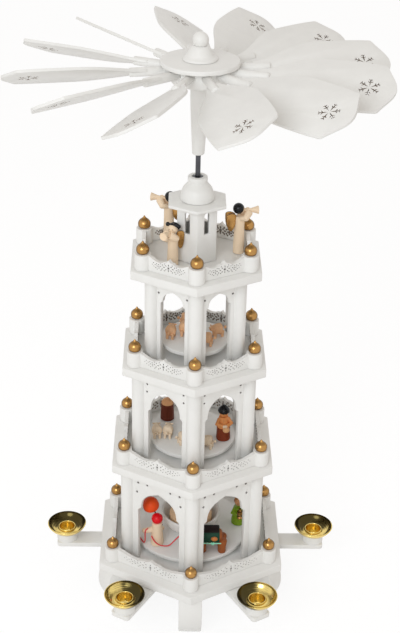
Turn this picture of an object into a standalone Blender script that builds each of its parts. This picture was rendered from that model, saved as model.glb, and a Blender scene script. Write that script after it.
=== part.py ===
"""Christmas pyramid: three columned storeys, a gallery with a small tower, and a wing wheel.

Candles on the six arms warm the air under the wing wheel. The wheel turns the steel spindle,
and the spindle carries the three turntables with their figures. Metres, +Z up. The origin is on
the floor under the spindle, and one corner of every hexagon points to -Y.
"""
import math

import bmesh
import bpy
from mathutils import Matrix, Vector

# Hexagonal layout
SIDES = 6
FRONT_CORNER = math.radians(-90.0)
SEAT_GAP = 0.0003
GLUED_DEPTH = 0.0010
TURNED_STEPS = 16

# Base: legs, candle arms, blocks and brass cups
LEG_HEIGHT = 0.0480
LEG_WIDTH = 0.0215
LEG_TOP_REACH = 0.0920
LEG_BULGE_REACH = 0.0950
LEG_FOOT_REACH = 0.0816
LEG_INNER_REACH = 0.0680
ARM_WIDTH = 0.0190
ARM_THICKNESS = 0.0048
ARM_ROOT = 0.0560
ARM_OVERHANG = 0.0094
ARM_CORNER = 0.0030
CUP_CIRCLE = 0.1216
CUP_STEPS = 12
BLOCK_RADIUS = 0.0100
BLOCK_HEIGHT = 0.0100
CUP_RIM_RADIUS = 0.0187
CUP_HEIGHT = 0.0077
CUP_FLANK_RADIUS = 0.0156
CUP_FLANK_HEIGHT = 0.0030
CUP_FLOOR_RADIUS = 0.0112
CUP_WALL = 0.0008
SOCKET_BORE = 0.0074
SOCKET_DEPTH = 0.0110
SOCKET_STAND = 0.0026

# Plates from the base up, and what stands on their edges
PLATE_THICKNESS = 0.0082
PLATE_RADII = (0.1005, 0.0855, 0.0740, 0.0654)
PLATE_EDGE_ROUND = 0.0010
STOREY_HEIGHTS = (0.0994, 0.0927, 0.0856)
SPINDLE_HOLE = 0.0045
POST_RADIUS = 0.0072
POST_HEIGHT = 0.0142
POST_STEPS = 10
POST_INSETS = (0.0146, 0.0128, 0.0126, 0.0120)
PARAPET_THICKNESS = 0.0035
PARAPET_END = 0.0138
PARAPET_DIP = 0.0101
PARAPET_PEAK = 0.0146
PARAPET_STEPS = 5
FINIAL_RADIUS = 0.0056
FINIAL_HEIGHT = 0.0118
FINIAL_THROAT_RADIUS = 0.0034
FINIAL_THROAT_HEIGHT = 0.0082
FINIAL_BELLY_HEIGHT = 0.0044
FINIAL_FOOT_RADIUS = 0.0036
FINIAL_STEPS = 8
COLUMN_RADIUS = 0.0066
COLUMN_STEPS = 12
COLUMN_CIRCLES = (0.0690, 0.0570, 0.0440)

# Arch boards between the columns, storey by storey
ARCH_THICKNESS = 0.0040
ARCH_HALF_WIDTHS = (0.0223, 0.0178, 0.0122)
ARCH_SHOULDERS = (0.0030, 0.0024, 0.0019)
ARCH_SPRINGS = (0.0570, 0.0550, 0.0610)
ARCH_PEAKS = (0.0816, 0.0780, 0.0738)
ARCH_STEPS = 6

# Gallery tower
TOWER_RADIUS = 0.0198
TOWER_WALL = 0.0026
TOWER_HEIGHT = 0.0503
SLOT_WIDTH = 0.0050
SLOT_HEIGHT = 0.0195
SLOT_HEAD = 0.0035
ROOF_RADIUS = 0.0285
ROOF_THICKNESS = 0.0030
ROOF_EDGE_ROUND = 0.0006
BELL_HEIGHT = 0.0212
BELL_FOOT_RADIUS = 0.0147
BELL_BODY_RADIUS = 0.0133
BELL_NECK_RADIUS = 0.0082
BELL_COLLAR_RADIUS = 0.0086
BELL_COLLAR_HEIGHT = 0.0046
BUSH_RADIUS = 0.0043
BUSH_LENGTH = 0.0090
BUSH_INSET = 0.0006

# Spindle and its bearings
SPINDLE_RADIUS = 0.0022
SPINDLE_STEPS = 12
SPINDLE_POINT = 0.0030
RUNNING_GAP = 0.0004
FLANGE_RADIUS = 0.0080
FLANGE_THICKNESS = 0.0014
PLUG_RADIUS = 0.0055
PLUG_DEPTH = 0.0070
PIT_RADIUS = 0.0030
PIT_DEPTH = 0.0035

# Turntables and what the spindle carries above the bell
TURNTABLE_RADII = (0.0555, 0.0405, 0.0314)
TURNTABLE_THICKNESS = 0.0036
TURNTABLE_LIFTS = (0.0084, 0.0091, 0.0122)
TURNTABLE_STEPS = 20
COLLAR_RADIUS = 0.0070
COLLAR_HEIGHT = 0.0022
ROD_SHOWING = 0.0200
SHAFT_FOOT_RADIUS = 0.0053
SHAFT_HEAD_RADIUS = 0.0076
SHAFT_LENGTH = 0.0630
SHAFT_EDGE = 0.0012
SHAFT_BORE_DEPTH = 0.0500
TENON_RADIUS = 0.0048
SHAFT_TENON_HEIGHT = 0.0080
KNOB_TENON_DEPTH = 0.0045
HUB_RADIUS = 0.0240
HUB_HEIGHT = 0.0140
HUB_STEPS = 24
HUB_DISC_RADIUS = 0.0330
HUB_DISC_THICKNESS = 0.0042
HUB_EDGE = 0.0010
KNOB_FOOT_RADIUS = 0.0145
KNOB_FLARE_RADIUS = 0.0090
KNOB_FLARE_HEIGHT = 0.0040
KNOB_HEAD_RADIUS = 0.0058
KNOB_HEAD_HEIGHT = 0.0112
KNOB_BALL_RADIUS = 0.0068
KNOB_NECK_RADIUS = 0.0042

# Wings: twelve thin boards, each in a slotted dowel that can be twisted in the hub
WING_COUNT = 12
WING_FIRST_ANGLE = math.radians(-79.0)
WING_PITCH = math.radians(28.0)
WING_THICKNESS = 0.0024
WING_ROOT = 0.0450
WING_ROOT_HALF = 0.0050
WING_FLARE_START = (0.0660, 0.0090)
WING_FLARE_END = (0.0800, 0.0262)
WING_SHOULDER = (0.1040, 0.0262)
WING_BELLY = (0.1240, 0.0267)
WING_CORNER = (0.1500, 0.0252)
WING_TIP = 0.1620
WING_FLARE_STEPS = 4
WING_TIP_STEPS = 6
STAR_PLACE = 0.1390
STAR_REACH = 0.0075
STAR_NOTCH = 0.0011
DOWEL_RADIUS = 0.0038
DOWEL_STEPS = 8
DOWEL_END = 0.0590
DOWEL_TENON_RADIUS = 0.0024
DOWEL_TENON_DEPTH = 0.0110
DOWEL_HOLE_STEPS = 6

# Figures: x, y, height, head radius, shoulder radius and foot radius of each turned body
FIGURE_STEPS = 10
NECK_DROP = 0.0016
HEM_HEIGHT = 0.0010
DRIVER = (-0.0324, -0.0298, 0.0342, 0.0050, 0.0046, 0.0062)
KING = (0.0472, 0.0046, 0.0292, 0.0046, 0.0050, 0.0068)
SHEPHERDS = (
    (-0.0240, 0.0244, 0.0225, 0.0046, 0.0056, 0.0064),
    (0.0288, -0.0092, 0.0367, 0.0050, 0.0056, 0.0066),
)
DRIVER_ARM = ((-0.0010, 0.0, 0.0155), (-0.0122, -0.0005, 0.0150))
DRIVER_ARM_RADII = (0.0028, 0.0022)
DRIVER_FOREARM = ((0.0010, 0.0010, 0.0165), (0.0058, 0.0050, 0.0138))
DRIVER_FOREARM_RADII = (0.0022, 0.0016)
PARASOL_STICK = ((0.0049, 0.0062, 0.0165), (-0.0058, 0.0062, 0.0400))
PARASOL_STICK_RADIUS = 0.0006
PARASOL_CANOPY = (0.0078, 0.0078, 0.0066)
PARASOL_CENTRE = (-0.0063, 0.0062, 0.0412)
VESSEL_RADIUS = 0.0026
VESSEL_HEIGHT = 0.0100
VESSEL_LEVEL = 0.0125
VESSEL_REACH = 0.0082
VESSEL_ANGLE = math.radians(-72.0)

# Bowl round the spindle on the lowest turntable, with a turned core
BOWL_RADIUS = 0.0250
BOWL_BELLY_RADIUS = 0.0232
BOWL_BELLY_HEIGHT = 0.0080
BOWL_FOOT_RADIUS = 0.0150
BOWL_HEIGHT = 0.0190
BOWL_WALL = 0.0028
BOWL_STEPS = 16
CORE_RADIUS = 0.0150
CORE_HEIGHT = 0.0120
CORE_ROUND = 0.0035

# Elephant, heading to -X
ELEPHANT_PLACE = (0.0200, -0.0380)
ELEPHANT_HEADING = math.radians(180.0)
ELEPHANT_BODY = (0.0132, 0.0078, 0.0085)
ELEPHANT_BODY_LEVEL = 0.0160
ELEPHANT_HEAD_RADIUS = 0.0060
ELEPHANT_HEAD_PLACE = (0.0140, 0.0, 0.0185)
ELEPHANT_TRUNK = ((0.0180, 0.0, 0.0165), (0.0215, 0.0, 0.0055))
ELEPHANT_TRUNK_RADII = (0.0022, 0.0013)
ELEPHANT_LEG_RADIUS = 0.0028
ELEPHANT_LEG_PLACES = ((0.0085, 0.0040), (0.0085, -0.0040), (-0.0085, 0.0040), (-0.0085, -0.0040))

# Sheep: x, y and heading of each
SHEEP_BODY = (0.0064, 0.0048, 0.0048)
SHEEP_BODY_LEVEL = 0.0070
SHEEP_HEAD = (0.0030, 0.0024, 0.0024)
SHEEP_HEAD_PLACE = (0.0070, 0.0, 0.0094)
SHEEP_LEG_RADIUS = 0.0011
SHEEP_LEG_PLACES = ((0.0034, 0.0019), (0.0034, -0.0019), (-0.0034, 0.0019), (-0.0034, -0.0019))
LAMBS_2 = (
    (-0.0230, -0.0075, math.radians(80.0)),
    (-0.0090, -0.0185, math.radians(25.0)),
    (0.0144, -0.0245, math.radians(160.0)),
    (-0.0335, -0.0075, math.radians(95.0)),
)
SHEEP_3 = (
    (-0.0215, -0.0020, math.radians(75.0)),
    (-0.0080, 0.0220, math.radians(10.0)),
    (-0.0095, 0.0035, math.radians(95.0)),
    (0.0215, 0.0018, math.radians(200.0)),
    (0.0115, -0.0150, math.radians(170.0)),
)

# Angels on the gallery: x, y, height and the direction each one blows its trumpet
ANGELS = (
    (-0.0205, -0.0178, 0.0385, math.radians(-120.0)),
    (0.0374, 0.0078, 0.0465, math.radians(8.0)),
    (-0.0245, 0.0305, 0.0470, math.radians(165.0)),
)
ANGEL_HEAD_RADIUS = 0.0050
ANGEL_SHOULDER_RADIUS = 0.0042
ANGEL_FOOT_RADIUS = 0.0048
ANGEL_MOUTH_DROP = 0.0014
TRUMPET_REACH = 0.0165
TRUMPET_RADII = (0.0010, 0.0036)
ANGEL_ARM_RADIUS = 0.0020
ANGEL_HAND_REACH = 0.0085
ANGEL_WING_HALF_SPAN = 0.0085
ANGEL_WING_HALF_HEIGHT = 0.0080
ANGEL_WING_THICKNESS = 0.0018
ANGEL_WING_SETBACK = 0.0046
ANGEL_WING_STEPS = 12

# Red lead from the driver to the elephant, and its loose tail, above the lowest turntable
LEAD_RADIUS = 0.0006
LEAD_SPACING = 0.0020
LEAD_ROUTE = (
    (-0.0376, -0.0338, 0.0115),
    (-0.0358, -0.0370, 0.0095),
    (-0.0328, -0.0386, 0.0066),
    (-0.0289, -0.0392, 0.0046),
    (-0.0246, -0.0394, 0.0040),
    (-0.0209, -0.0394, 0.0046),
    (-0.0177, -0.0393, 0.0078),
    (-0.0137, -0.0392, 0.0128),
    (-0.0087, -0.0390, 0.0180),
    (-0.0045, -0.0387, 0.0200),
    (-0.0013, -0.0385, 0.0203),
)
TAIL_ROUTE = (
    (-0.0412, -0.0312, 0.0184),
    (-0.0434, -0.0330, 0.0172),
    (-0.0438, -0.0338, 0.0135),
    (-0.0438, -0.0336, 0.0085),
    (-0.0441, -0.0328, 0.0042),
    (-0.0450, -0.0308, 0.0014),
    (-0.0472, -0.0266, 0.0010),
    (-0.0496, -0.0212, 0.0010),
    (-0.0510, -0.0165, 0.0010),
)

# Heights that follow from the sizes above
DECK_BOTTOMS = [LEG_HEIGHT + SEAT_GAP]
for storey_height in STOREY_HEIGHTS:
    DECK_BOTTOMS.append(DECK_BOTTOMS[-1] + PLATE_THICKNESS + storey_height)
DECK_TOPS = [bottom + PLATE_THICKNESS for bottom in DECK_BOTTOMS]
TURNTABLE_TOPS = [top + lift for top, lift in zip(DECK_TOPS, TURNTABLE_LIFTS)]
FLANGE_TOP = DECK_TOPS[0] + SEAT_GAP + FLANGE_THICKNESS
SPINDLE_FOOT = FLANGE_TOP - PIT_DEPTH + SEAT_GAP
TOWER_FOOT = DECK_TOPS[-1] + SEAT_GAP
ROOF_FOOT = TOWER_FOOT + TOWER_HEIGHT + SEAT_GAP
BELL_FOOT = ROOF_FOOT + ROOF_THICKNESS + SEAT_GAP
SHAFT_FOOT = BELL_FOOT + BELL_HEIGHT + ROD_SHOWING
SPINDLE_TOP = SHAFT_FOOT + SHAFT_BORE_DEPTH - SEAT_GAP
HUB_FOOT = SHAFT_FOOT + SHAFT_LENGTH + SEAT_GAP
DISC_FOOT = HUB_FOOT + HUB_HEIGHT + SEAT_GAP
KNOB_FOOT = DISC_FOOT + HUB_DISC_THICKNESS + SEAT_GAP
WING_LEVEL = HUB_FOOT + HUB_HEIGHT - DOWEL_RADIUS

# Finishes: base colour, roughness and metallic value
FINISHES = {
    "white_paint": ((0.84, 0.84, 0.82), 0.38, 0.0),
    "gold_paint": ((0.62, 0.36, 0.10), 0.30, 0.9),
    "brass": ((0.80, 0.56, 0.18), 0.16, 1.0),
    "steel": ((0.16, 0.16, 0.17), 0.28, 1.0),
    "pale_wood": ((0.82, 0.58, 0.38), 0.55, 0.0),
    "red_cord": ((0.60, 0.02, 0.03), 0.70, 0.0),
}


def clear_scene():
    """Start from an empty scene."""
    for old in list(bpy.data.objects):
        bpy.data.objects.remove(old, do_unlink=True)


def new_collection(name):
    """Collection of this name, linked to the scene."""
    collection = bpy.data.collections.new(name)
    bpy.context.scene.collection.children.link(collection)
    return collection


def own_material(name, finish):
    """A material for one sub-part, in one of the finishes."""
    colour, roughness, metallic = FINISHES[finish]
    material = bpy.data.materials.new(name)
    material.use_nodes = True
    shader = material.node_tree.nodes["Principled BSDF"]
    shader.inputs["Base Color"].default_value = (*colour, 1.0)
    shader.inputs["Roughness"].default_value = roughness
    shader.inputs["Metallic"].default_value = metallic
    material.diffuse_color = (*colour, 1.0)
    return material


def add_part(name, mesh, finish, place=None, parent=None):
    """One named sub-part with its own material, put where it belongs."""
    mesh.name = name
    mesh.shade_smooth()
    mesh.set_sharp_from_angle(angle=math.radians(35.0))
    mesh.materials.clear()
    mesh.materials.append(own_material(name, finish))
    part = bpy.data.objects.new(name, mesh)
    PARTS.objects.link(part)
    if parent:
        part.parent = parent
    part.matrix_local = place or Matrix()
    return part


def clear_radius(radius, steps, gap=SEAT_GAP):
    """Corner radius of a faceted bore whose flats clear a pin of this radius."""
    return (radius + gap) / math.cos(math.pi / steps)


def rise(height):
    """Shift upwards."""
    return Matrix.Translation((0.0, 0.0, height))


def spun(angle):
    """Turn about the upright axis."""
    return Matrix.Rotation(angle, 4, "Z")


def stand_up():
    """Turn a board that was drawn flat, so that its own Y points up."""
    return Matrix.Rotation(math.radians(90.0), 4, "X")


def corner_place(index, reach, height):
    """Place at one corner of the hexagon."""
    angle = FRONT_CORNER + index * 2 * math.pi / SIDES
    return spun(angle) @ Matrix.Translation((reach, 0.0, height))


def side_angle(index):
    """Direction in which one side of the hexagon faces."""
    return FRONT_CORNER + (index + 0.5) * 2 * math.pi / SIDES


def panel_place(index, distance, height):
    """Place of an upright board along one side, with its front facing outwards."""
    turn = spun(side_angle(index) + math.radians(90.0))
    return turn @ Matrix.Translation((0.0, -distance, height)) @ stand_up()


def meshed(source):
    """The evaluated, welded mesh of a temporary object, which is removed."""
    bpy.context.scene.collection.objects.link(source)
    bpy.context.view_layer.update()
    graph = bpy.context.evaluated_depsgraph_get()
    mesh = bpy.data.meshes.new_from_object(source.evaluated_get(graph))
    bpy.data.objects.remove(source, do_unlink=True)
    work = bmesh.new()
    work.from_mesh(mesh)
    bmesh.ops.remove_doubles(work, verts=work.verts, dist=0.00001)
    work.to_mesh(mesh)
    work.free()
    return mesh


def turned(profile, steps=TURNED_STEPS, ring=False):
    """Turned solid; the profile's (radius, height) points run down its outer side."""
    mesh = bpy.data.meshes.new("profile")
    edges = [(i, i + 1) for i in range(len(profile) - 1)]
    if ring:
        edges.append((len(profile) - 1, 0))
    mesh.from_pydata([(radius, 0.0, height) for radius, height in profile], edges, [])
    source = bpy.data.objects.new("turned", mesh)
    screw = source.modifiers.new("Turn", "SCREW")
    screw.axis = "Z"
    screw.angle = 2 * math.pi
    screw.steps = steps
    screw.render_steps = steps
    screw.use_merge_vertices = True
    screw.merge_threshold = 0.00001
    return meshed(source)


def board(outlines, thickness):
    """Flat board about the XY plane; the first outline is its edge, the others are holes."""
    curve = bpy.data.curves.new("outline", "CURVE")
    curve.dimensions = "2D"
    curve.fill_mode = "BOTH"
    curve.extrude = thickness / 2
    for outline in outlines:
        spline = curve.splines.new("POLY")
        spline.points.add(len(outline) - 1)
        for point, (x, y) in zip(spline.points, outline):
            point.co = (x, y, 0.0, 1.0)
        spline.use_cyclic_u = True
    return meshed(bpy.data.objects.new("board", curve))


def rod(radius, length, steps, top_radius=None):
    """Round rod that stands on the origin."""
    mesh = bpy.data.meshes.new("rod")
    work = bmesh.new()
    top = radius if top_radius is None else top_radius
    bmesh.ops.create_cone(
        work, cap_ends=True, segments=steps, radius1=radius, radius2=top, depth=length,
        matrix=rise(length / 2),
    )
    work.to_mesh(mesh)
    work.free()
    return mesh


def rod_between(start, end, radii, steps):
    """Round rod from one point to another, with a radius at each end."""
    along = Vector(end) - Vector(start)
    mesh = rod(radii[0], along.length, steps, radii[1])
    turn = along.to_track_quat("Z", "Y").to_matrix().to_4x4()
    mesh.transform(Matrix.Translation(start) @ turn)
    return mesh


def ball(radii, centre, columns=10, rows=6):
    """Round or oval ball."""
    mesh = bpy.data.meshes.new("ball")
    work = bmesh.new()
    size = Matrix.Diagonal((*radii, 1.0))
    bmesh.ops.create_uvsphere(
        work, u_segments=columns, v_segments=rows, radius=1.0,
        matrix=Matrix.Translation(centre) @ size,
    )
    work.to_mesh(mesh)
    work.free()
    return mesh


def box(size, centre):
    """Box about a centre."""
    mesh = bpy.data.meshes.new("box")
    work = bmesh.new()
    matrix = Matrix.Translation(centre) @ Matrix.Diagonal((*size, 1.0))
    bmesh.ops.create_cube(work, size=1.0, matrix=matrix)
    work.to_mesh(mesh)
    work.free()
    return mesh


def group(placed):
    """One mesh that holds like solids which don't touch, each given as a mesh and its place."""
    whole = bpy.data.meshes.new("group")
    work = bmesh.new()
    for mesh, place in placed:
        piece = mesh.copy()
        piece.transform(place)
        work.from_mesh(piece)
        bpy.data.meshes.remove(piece)
    work.to_mesh(whole)
    work.free()
    return whole


def combined(base, others, operation, solver="EXACT"):
    """The base mesh joined with, or cut by, the other meshes."""
    source = bpy.data.objects.new("base", base)
    tools = []
    for mesh in others:
        tool = bpy.data.objects.new("cutter", mesh)
        tool.hide_render = True
        tool.display_type = "WIRE"
        CUTTERS.objects.link(tool)
        tools.append(tool)
        step = source.modifiers.new("Step", "BOOLEAN")
        step.operation = operation
        step.solver = solver
        step.object = tool
    mesh = meshed(source)
    for tool in tools:
        bpy.data.objects.remove(tool, do_unlink=True)
    return mesh


def softened(mesh, width, beyond):
    """Round the sharp edges that lie further than this from the axis."""
    work = bmesh.new()
    work.from_mesh(mesh)
    rim = [
        edge for edge in work.edges
        if all(vert.co.xy.length > beyond for vert in edge.verts)
        and edge.calc_face_angle(0.0) > math.radians(30.0)
    ]
    bmesh.ops.bevel(
        work, geom=rim, offset=width, offset_type="OFFSET", segments=2, profile=0.5,
        affect="EDGES",
    )
    work.to_mesh(mesh)
    work.free()
    return mesh


def circle(radius, steps, turn=0.0):
    """Points round a circle."""
    angles = [turn + i * 2 * math.pi / steps for i in range(steps)]
    return [(radius * math.cos(a), radius * math.sin(a)) for a in angles]


def arc(centre, radius, first, last, steps):
    """Points along an arc about (x, y), both ends included; angles in degrees."""
    points = []
    for i in range(steps + 1):
        angle = math.radians(first + (last - first) * i / steps)
        points.append((centre[0] + radius * math.cos(angle), centre[1] + radius * math.sin(angle)))
    return points


def bezier(start, handle_1, handle_2, end, steps):
    """Points along a cubic curve, both ends included."""
    points = []
    for i in range(steps + 1):
        t = i / steps
        weights = ((1 - t) ** 3, 3 * t * (1 - t) ** 2, 3 * t * t * (1 - t), t ** 3)
        knots = (start, handle_1, handle_2, end)
        points.append(tuple(sum(w * k[axis] for w, k in zip(weights, knots)) for axis in (0, 1)))
    return points


def mirrored(half):
    """A half outline that ends on x = 0, followed by its mirror image."""
    return half + [(-x, y) for x, y in reversed(half[:-1])]


# Base: legs, arms, blocks and cups
def leg_ring():
    """Six upright boards with a bulging outer edge, up into the base plate."""
    middle = (LEG_TOP_REACH + LEG_FOOT_REACH) / 2
    control = (2 * LEG_BULGE_REACH - middle, LEG_HEIGHT / 2)
    foot = (LEG_FOOT_REACH, 0.0)
    top = (LEG_TOP_REACH, LEG_HEIGHT)
    lower = tuple(a + (b - a) * 2 / 3 for a, b in zip(foot, control))
    upper = tuple(a + (b - a) * 2 / 3 for a, b in zip(top, control))
    outline = bezier(foot, lower, upper, top, 6)
    head = DECK_BOTTOMS[0] + GLUED_DEPTH
    outline += [(LEG_TOP_REACH, head), (LEG_INNER_REACH, head), (LEG_INNER_REACH, 0.0)]
    leg = board([outline], LEG_WIDTH)
    return group([(leg, corner_place(i, 0.0, 0.0) @ stand_up()) for i in range(SIDES)])


def make_candle_arms():
    """Six flat arms under the base plate, each with a bored block for its cup."""
    end = CUP_CIRCLE + ARM_OVERHANG
    half = ARM_WIDTH / 2
    tip = arc((end - ARM_CORNER, half - ARM_CORNER), ARM_CORNER, 90.0, 0.0, 3)
    outline = [(ARM_ROOT, -half), (ARM_ROOT, half)]
    outline += tip + [(x, -y) for x, y in reversed(tip)]
    arm = board([outline], ARM_THICKNESS)
    bore = clear_radius(SOCKET_BORE + CUP_WALL, CUP_STEPS)
    sunk = ARM_THICKNESS / 2 - GLUED_DEPTH
    head = ARM_THICKNESS / 2 + BLOCK_HEIGHT
    block = turned(
        [(BLOCK_RADIUS, head), (BLOCK_RADIUS, sunk), (bore, sunk), (bore, head)],
        CUP_STEPS, ring=True,
    )
    block.transform(Matrix.Translation((CUP_CIRCLE, 0.0, 0.0)))
    mesh = combined(arm, [block], "UNION")
    for i in range(SIDES):
        place = spun(side_angle(i)) @ rise(LEG_HEIGHT - ARM_THICKNESS / 2)
        add_part(f"candle_arm_{i + 1}", mesh.copy(), "white_paint", place)


def make_candle_cups():
    """Six brass drip dishes, each with a socket that drops into its block."""
    socket = SOCKET_BORE + CUP_WALL
    lip = CUP_WALL + SOCKET_STAND
    floor = lip - SOCKET_DEPTH
    profile = [
        (0.0, floor), (SOCKET_BORE, floor), (SOCKET_BORE, lip), (socket, lip), (socket, CUP_WALL),
        (CUP_FLOOR_RADIUS, CUP_WALL), (CUP_FLANK_RADIUS, CUP_FLANK_HEIGHT + CUP_WALL),
        (CUP_RIM_RADIUS - CUP_WALL, CUP_HEIGHT), (CUP_RIM_RADIUS, CUP_HEIGHT),
        (CUP_FLANK_RADIUS + CUP_WALL, CUP_FLANK_HEIGHT), (CUP_FLOOR_RADIUS, 0.0),
        (socket, 0.0), (socket, floor - CUP_WALL), (0.0, floor - CUP_WALL),
    ]
    height = LEG_HEIGHT + BLOCK_HEIGHT + SEAT_GAP
    for i in range(SIDES):
        place = spun(side_angle(i)) @ Matrix.Translation((CUP_CIRCLE, 0.0, height))
        add_part(f"candle_cup_{i + 1}", turned(profile, CUP_STEPS), "brass", place)


# Plates, parapets, posts, finials, columns and arches
def make_plates():
    """Base plate with its legs, two storey decks and the gallery deck."""
    names = ("base_plate", "deck_1", "deck_2", "deck_3")
    for level, name in enumerate(names):
        hole = SPINDLE_HOLE
        if level == 0:
            hole = clear_radius(PLUG_RADIUS, TURNED_STEPS)
        edge = circle(PLATE_RADII[level], SIDES, FRONT_CORNER)
        plate = board([edge, circle(hole, TURNED_STEPS)], PLATE_THICKNESS)
        softened(plate, PLATE_EDGE_ROUND, PLATE_RADII[level] / 2)
        plate.transform(rise(DECK_BOTTOMS[level] + PLATE_THICKNESS / 2))
        if level == 0:
            plate = combined(plate, [leg_ring()], "UNION")
        add_part(name, plate, "white_paint")


def post_circle(level):
    """Radius of the circle through the corner posts of one plate."""
    return PLATE_RADII[level] - POST_INSETS[level]


def parapet_board(level):
    """Board with a wavy top, as long as the space between two posts."""
    half = post_circle(level) / 2 - POST_RADIUS + GLUED_DEPTH
    handle = (8 * PARAPET_DIP - PARAPET_END - PARAPET_PEAK) / 6
    wave = bezier(
        (half, PARAPET_END), (0.72 * half, handle), (0.15 * half, handle),
        (0.0, PARAPET_PEAK), PARAPET_STEPS,
    )
    return board([mirrored([(half, 0.0)] + wave)], PARAPET_THICKNESS)


def make_parapets():
    """Ring on every plate: boards, corner posts and an onion finial on each post."""
    post = rod(POST_RADIUS, POST_HEIGHT, POST_STEPS)
    finial = turned(
        [(0.0, FINIAL_HEIGHT), (FINIAL_THROAT_RADIUS, FINIAL_THROAT_HEIGHT),
         (FINIAL_RADIUS, FINIAL_BELLY_HEIGHT), (FINIAL_FOOT_RADIUS, 0.0),
         (FINIAL_FOOT_RADIUS, -GLUED_DEPTH), (0.0, -GLUED_DEPTH)],
        FINIAL_STEPS,
    )
    for level, top in enumerate(DECK_TOPS):
        foot = top + SEAT_GAP
        reach = post_circle(level)
        panel = parapet_board(level)
        distance = reach * math.cos(math.pi / SIDES)
        boards = group([(panel, panel_place(i, distance, foot)) for i in range(SIDES)])
        posts = group([(post, corner_place(i, reach, foot)) for i in range(SIDES)])
        head = foot + POST_HEIGHT
        finials = group([(finial, corner_place(i, reach, head)) for i in range(SIDES)])
        ring = combined(boards, [posts, finials], "UNION")
        add_part(f"parapet_{level + 1}", ring, "white_paint")


def arch_outline(storey):
    """Edge of one arch board, open at the foot, from its lower left corner."""
    half = COLUMN_CIRCLES[storey] / 2 - COLUMN_RADIUS + GLUED_DEPTH
    height = STOREY_HEIGHTS[storey] - 2 * SEAT_GAP
    jamb = ARCH_HALF_WIDTHS[storey]
    shoulder = ARCH_SHOULDERS[storey]
    spring = ARCH_SPRINGS[storey]
    foot = spring + 0.85 * shoulder
    inner = jamb - shoulder
    climb = ARCH_PEAKS[storey] - foot
    curve = bezier(
        (inner, foot), (0.98 * inner, foot + 0.62 * climb), (0.62 * inner, foot + 0.80 * climb),
        (0.0, ARCH_PEAKS[storey]), ARCH_STEPS,
    )
    opening = mirrored([(jamb, 0.0), (jamb, spring)] + curve)
    return opening + [(-half, 0.0), (-half, height), (half, height), (half, 0.0)]


def make_colonnades():
    """Ring of six round columns with arch boards between them, in each storey."""
    for storey, height in enumerate(STOREY_HEIGHTS):
        foot = DECK_TOPS[storey] + SEAT_GAP
        reach = COLUMN_CIRCLES[storey]
        column = rod(COLUMN_RADIUS, height - 2 * SEAT_GAP, COLUMN_STEPS)
        panel = board([arch_outline(storey)], ARCH_THICKNESS)
        distance = reach * math.cos(math.pi / SIDES)
        columns = group([(column, corner_place(i, reach, foot)) for i in range(SIDES)])
        panels = group([(panel, panel_place(i, distance, foot)) for i in range(SIDES)])
        ring = combined(columns, [panels], "UNION")
        add_part(f"colonnade_{storey + 1}", ring, "white_paint")


# Tower, roof and bell
def make_tower():
    """Hexagonal shell with a narrow window in each side."""
    inner = TOWER_RADIUS - TOWER_WALL / math.cos(math.pi / SIDES)
    shell = turned(
        [(TOWER_RADIUS, TOWER_HEIGHT), (TOWER_RADIUS, 0.0), (inner, 0.0), (inner, TOWER_HEIGHT)],
        SIDES, ring=True,
    )
    shell.transform(spun(FRONT_CORNER))
    middle = TOWER_HEIGHT - SLOT_HEAD - SLOT_HEIGHT / 2
    reach = TOWER_RADIUS * (1.0 - math.cos(math.pi / SIDES)) + 2 * TOWER_WALL
    windows = []
    for i in range(SIDES):
        window = box((2 * reach, SLOT_WIDTH, SLOT_HEIGHT), (TOWER_RADIUS, 0.0, middle))
        window.transform(spun(side_angle(i)))
        windows.append((window, Matrix()))
    mesh = combined(shell, [group(windows)], "DIFFERENCE")
    add_part("tower", mesh, "white_paint", rise(TOWER_FOOT))


def make_tower_roof():
    """Hexagonal plate on the tower."""
    edge = circle(ROOF_RADIUS, SIDES, FRONT_CORNER)
    roof = board([edge, circle(SPINDLE_HOLE, TURNED_STEPS)], ROOF_THICKNESS)
    softened(roof, ROOF_EDGE_ROUND, ROOF_RADIUS / 2)
    add_part("tower_roof", roof, "white_paint", rise(ROOF_FOOT + ROOF_THICKNESS / 2))


def make_bell_cap():
    """Turned bell that holds the upper bush."""
    bore = clear_radius(BUSH_RADIUS, TURNED_STEPS)
    collar = BELL_HEIGHT - BELL_COLLAR_HEIGHT
    profile = [
        (BELL_COLLAR_RADIUS - 0.0010, BELL_HEIGHT), (BELL_COLLAR_RADIUS, BELL_HEIGHT - 0.0010),
        (BELL_COLLAR_RADIUS, collar + 0.0006), (BELL_NECK_RADIUS, collar),
        (0.5 * (BELL_NECK_RADIUS + BELL_BODY_RADIUS), 0.62 * BELL_HEIGHT),
        (BELL_BODY_RADIUS, 0.44 * BELL_HEIGHT), (BELL_FOOT_RADIUS, 0.20 * BELL_HEIGHT),
        (BELL_FOOT_RADIUS, 0.0), (bore, 0.0), (bore, BELL_HEIGHT),
    ]
    add_part("bell_cap", turned(profile, ring=True), "white_paint", rise(BELL_FOOT))


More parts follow.
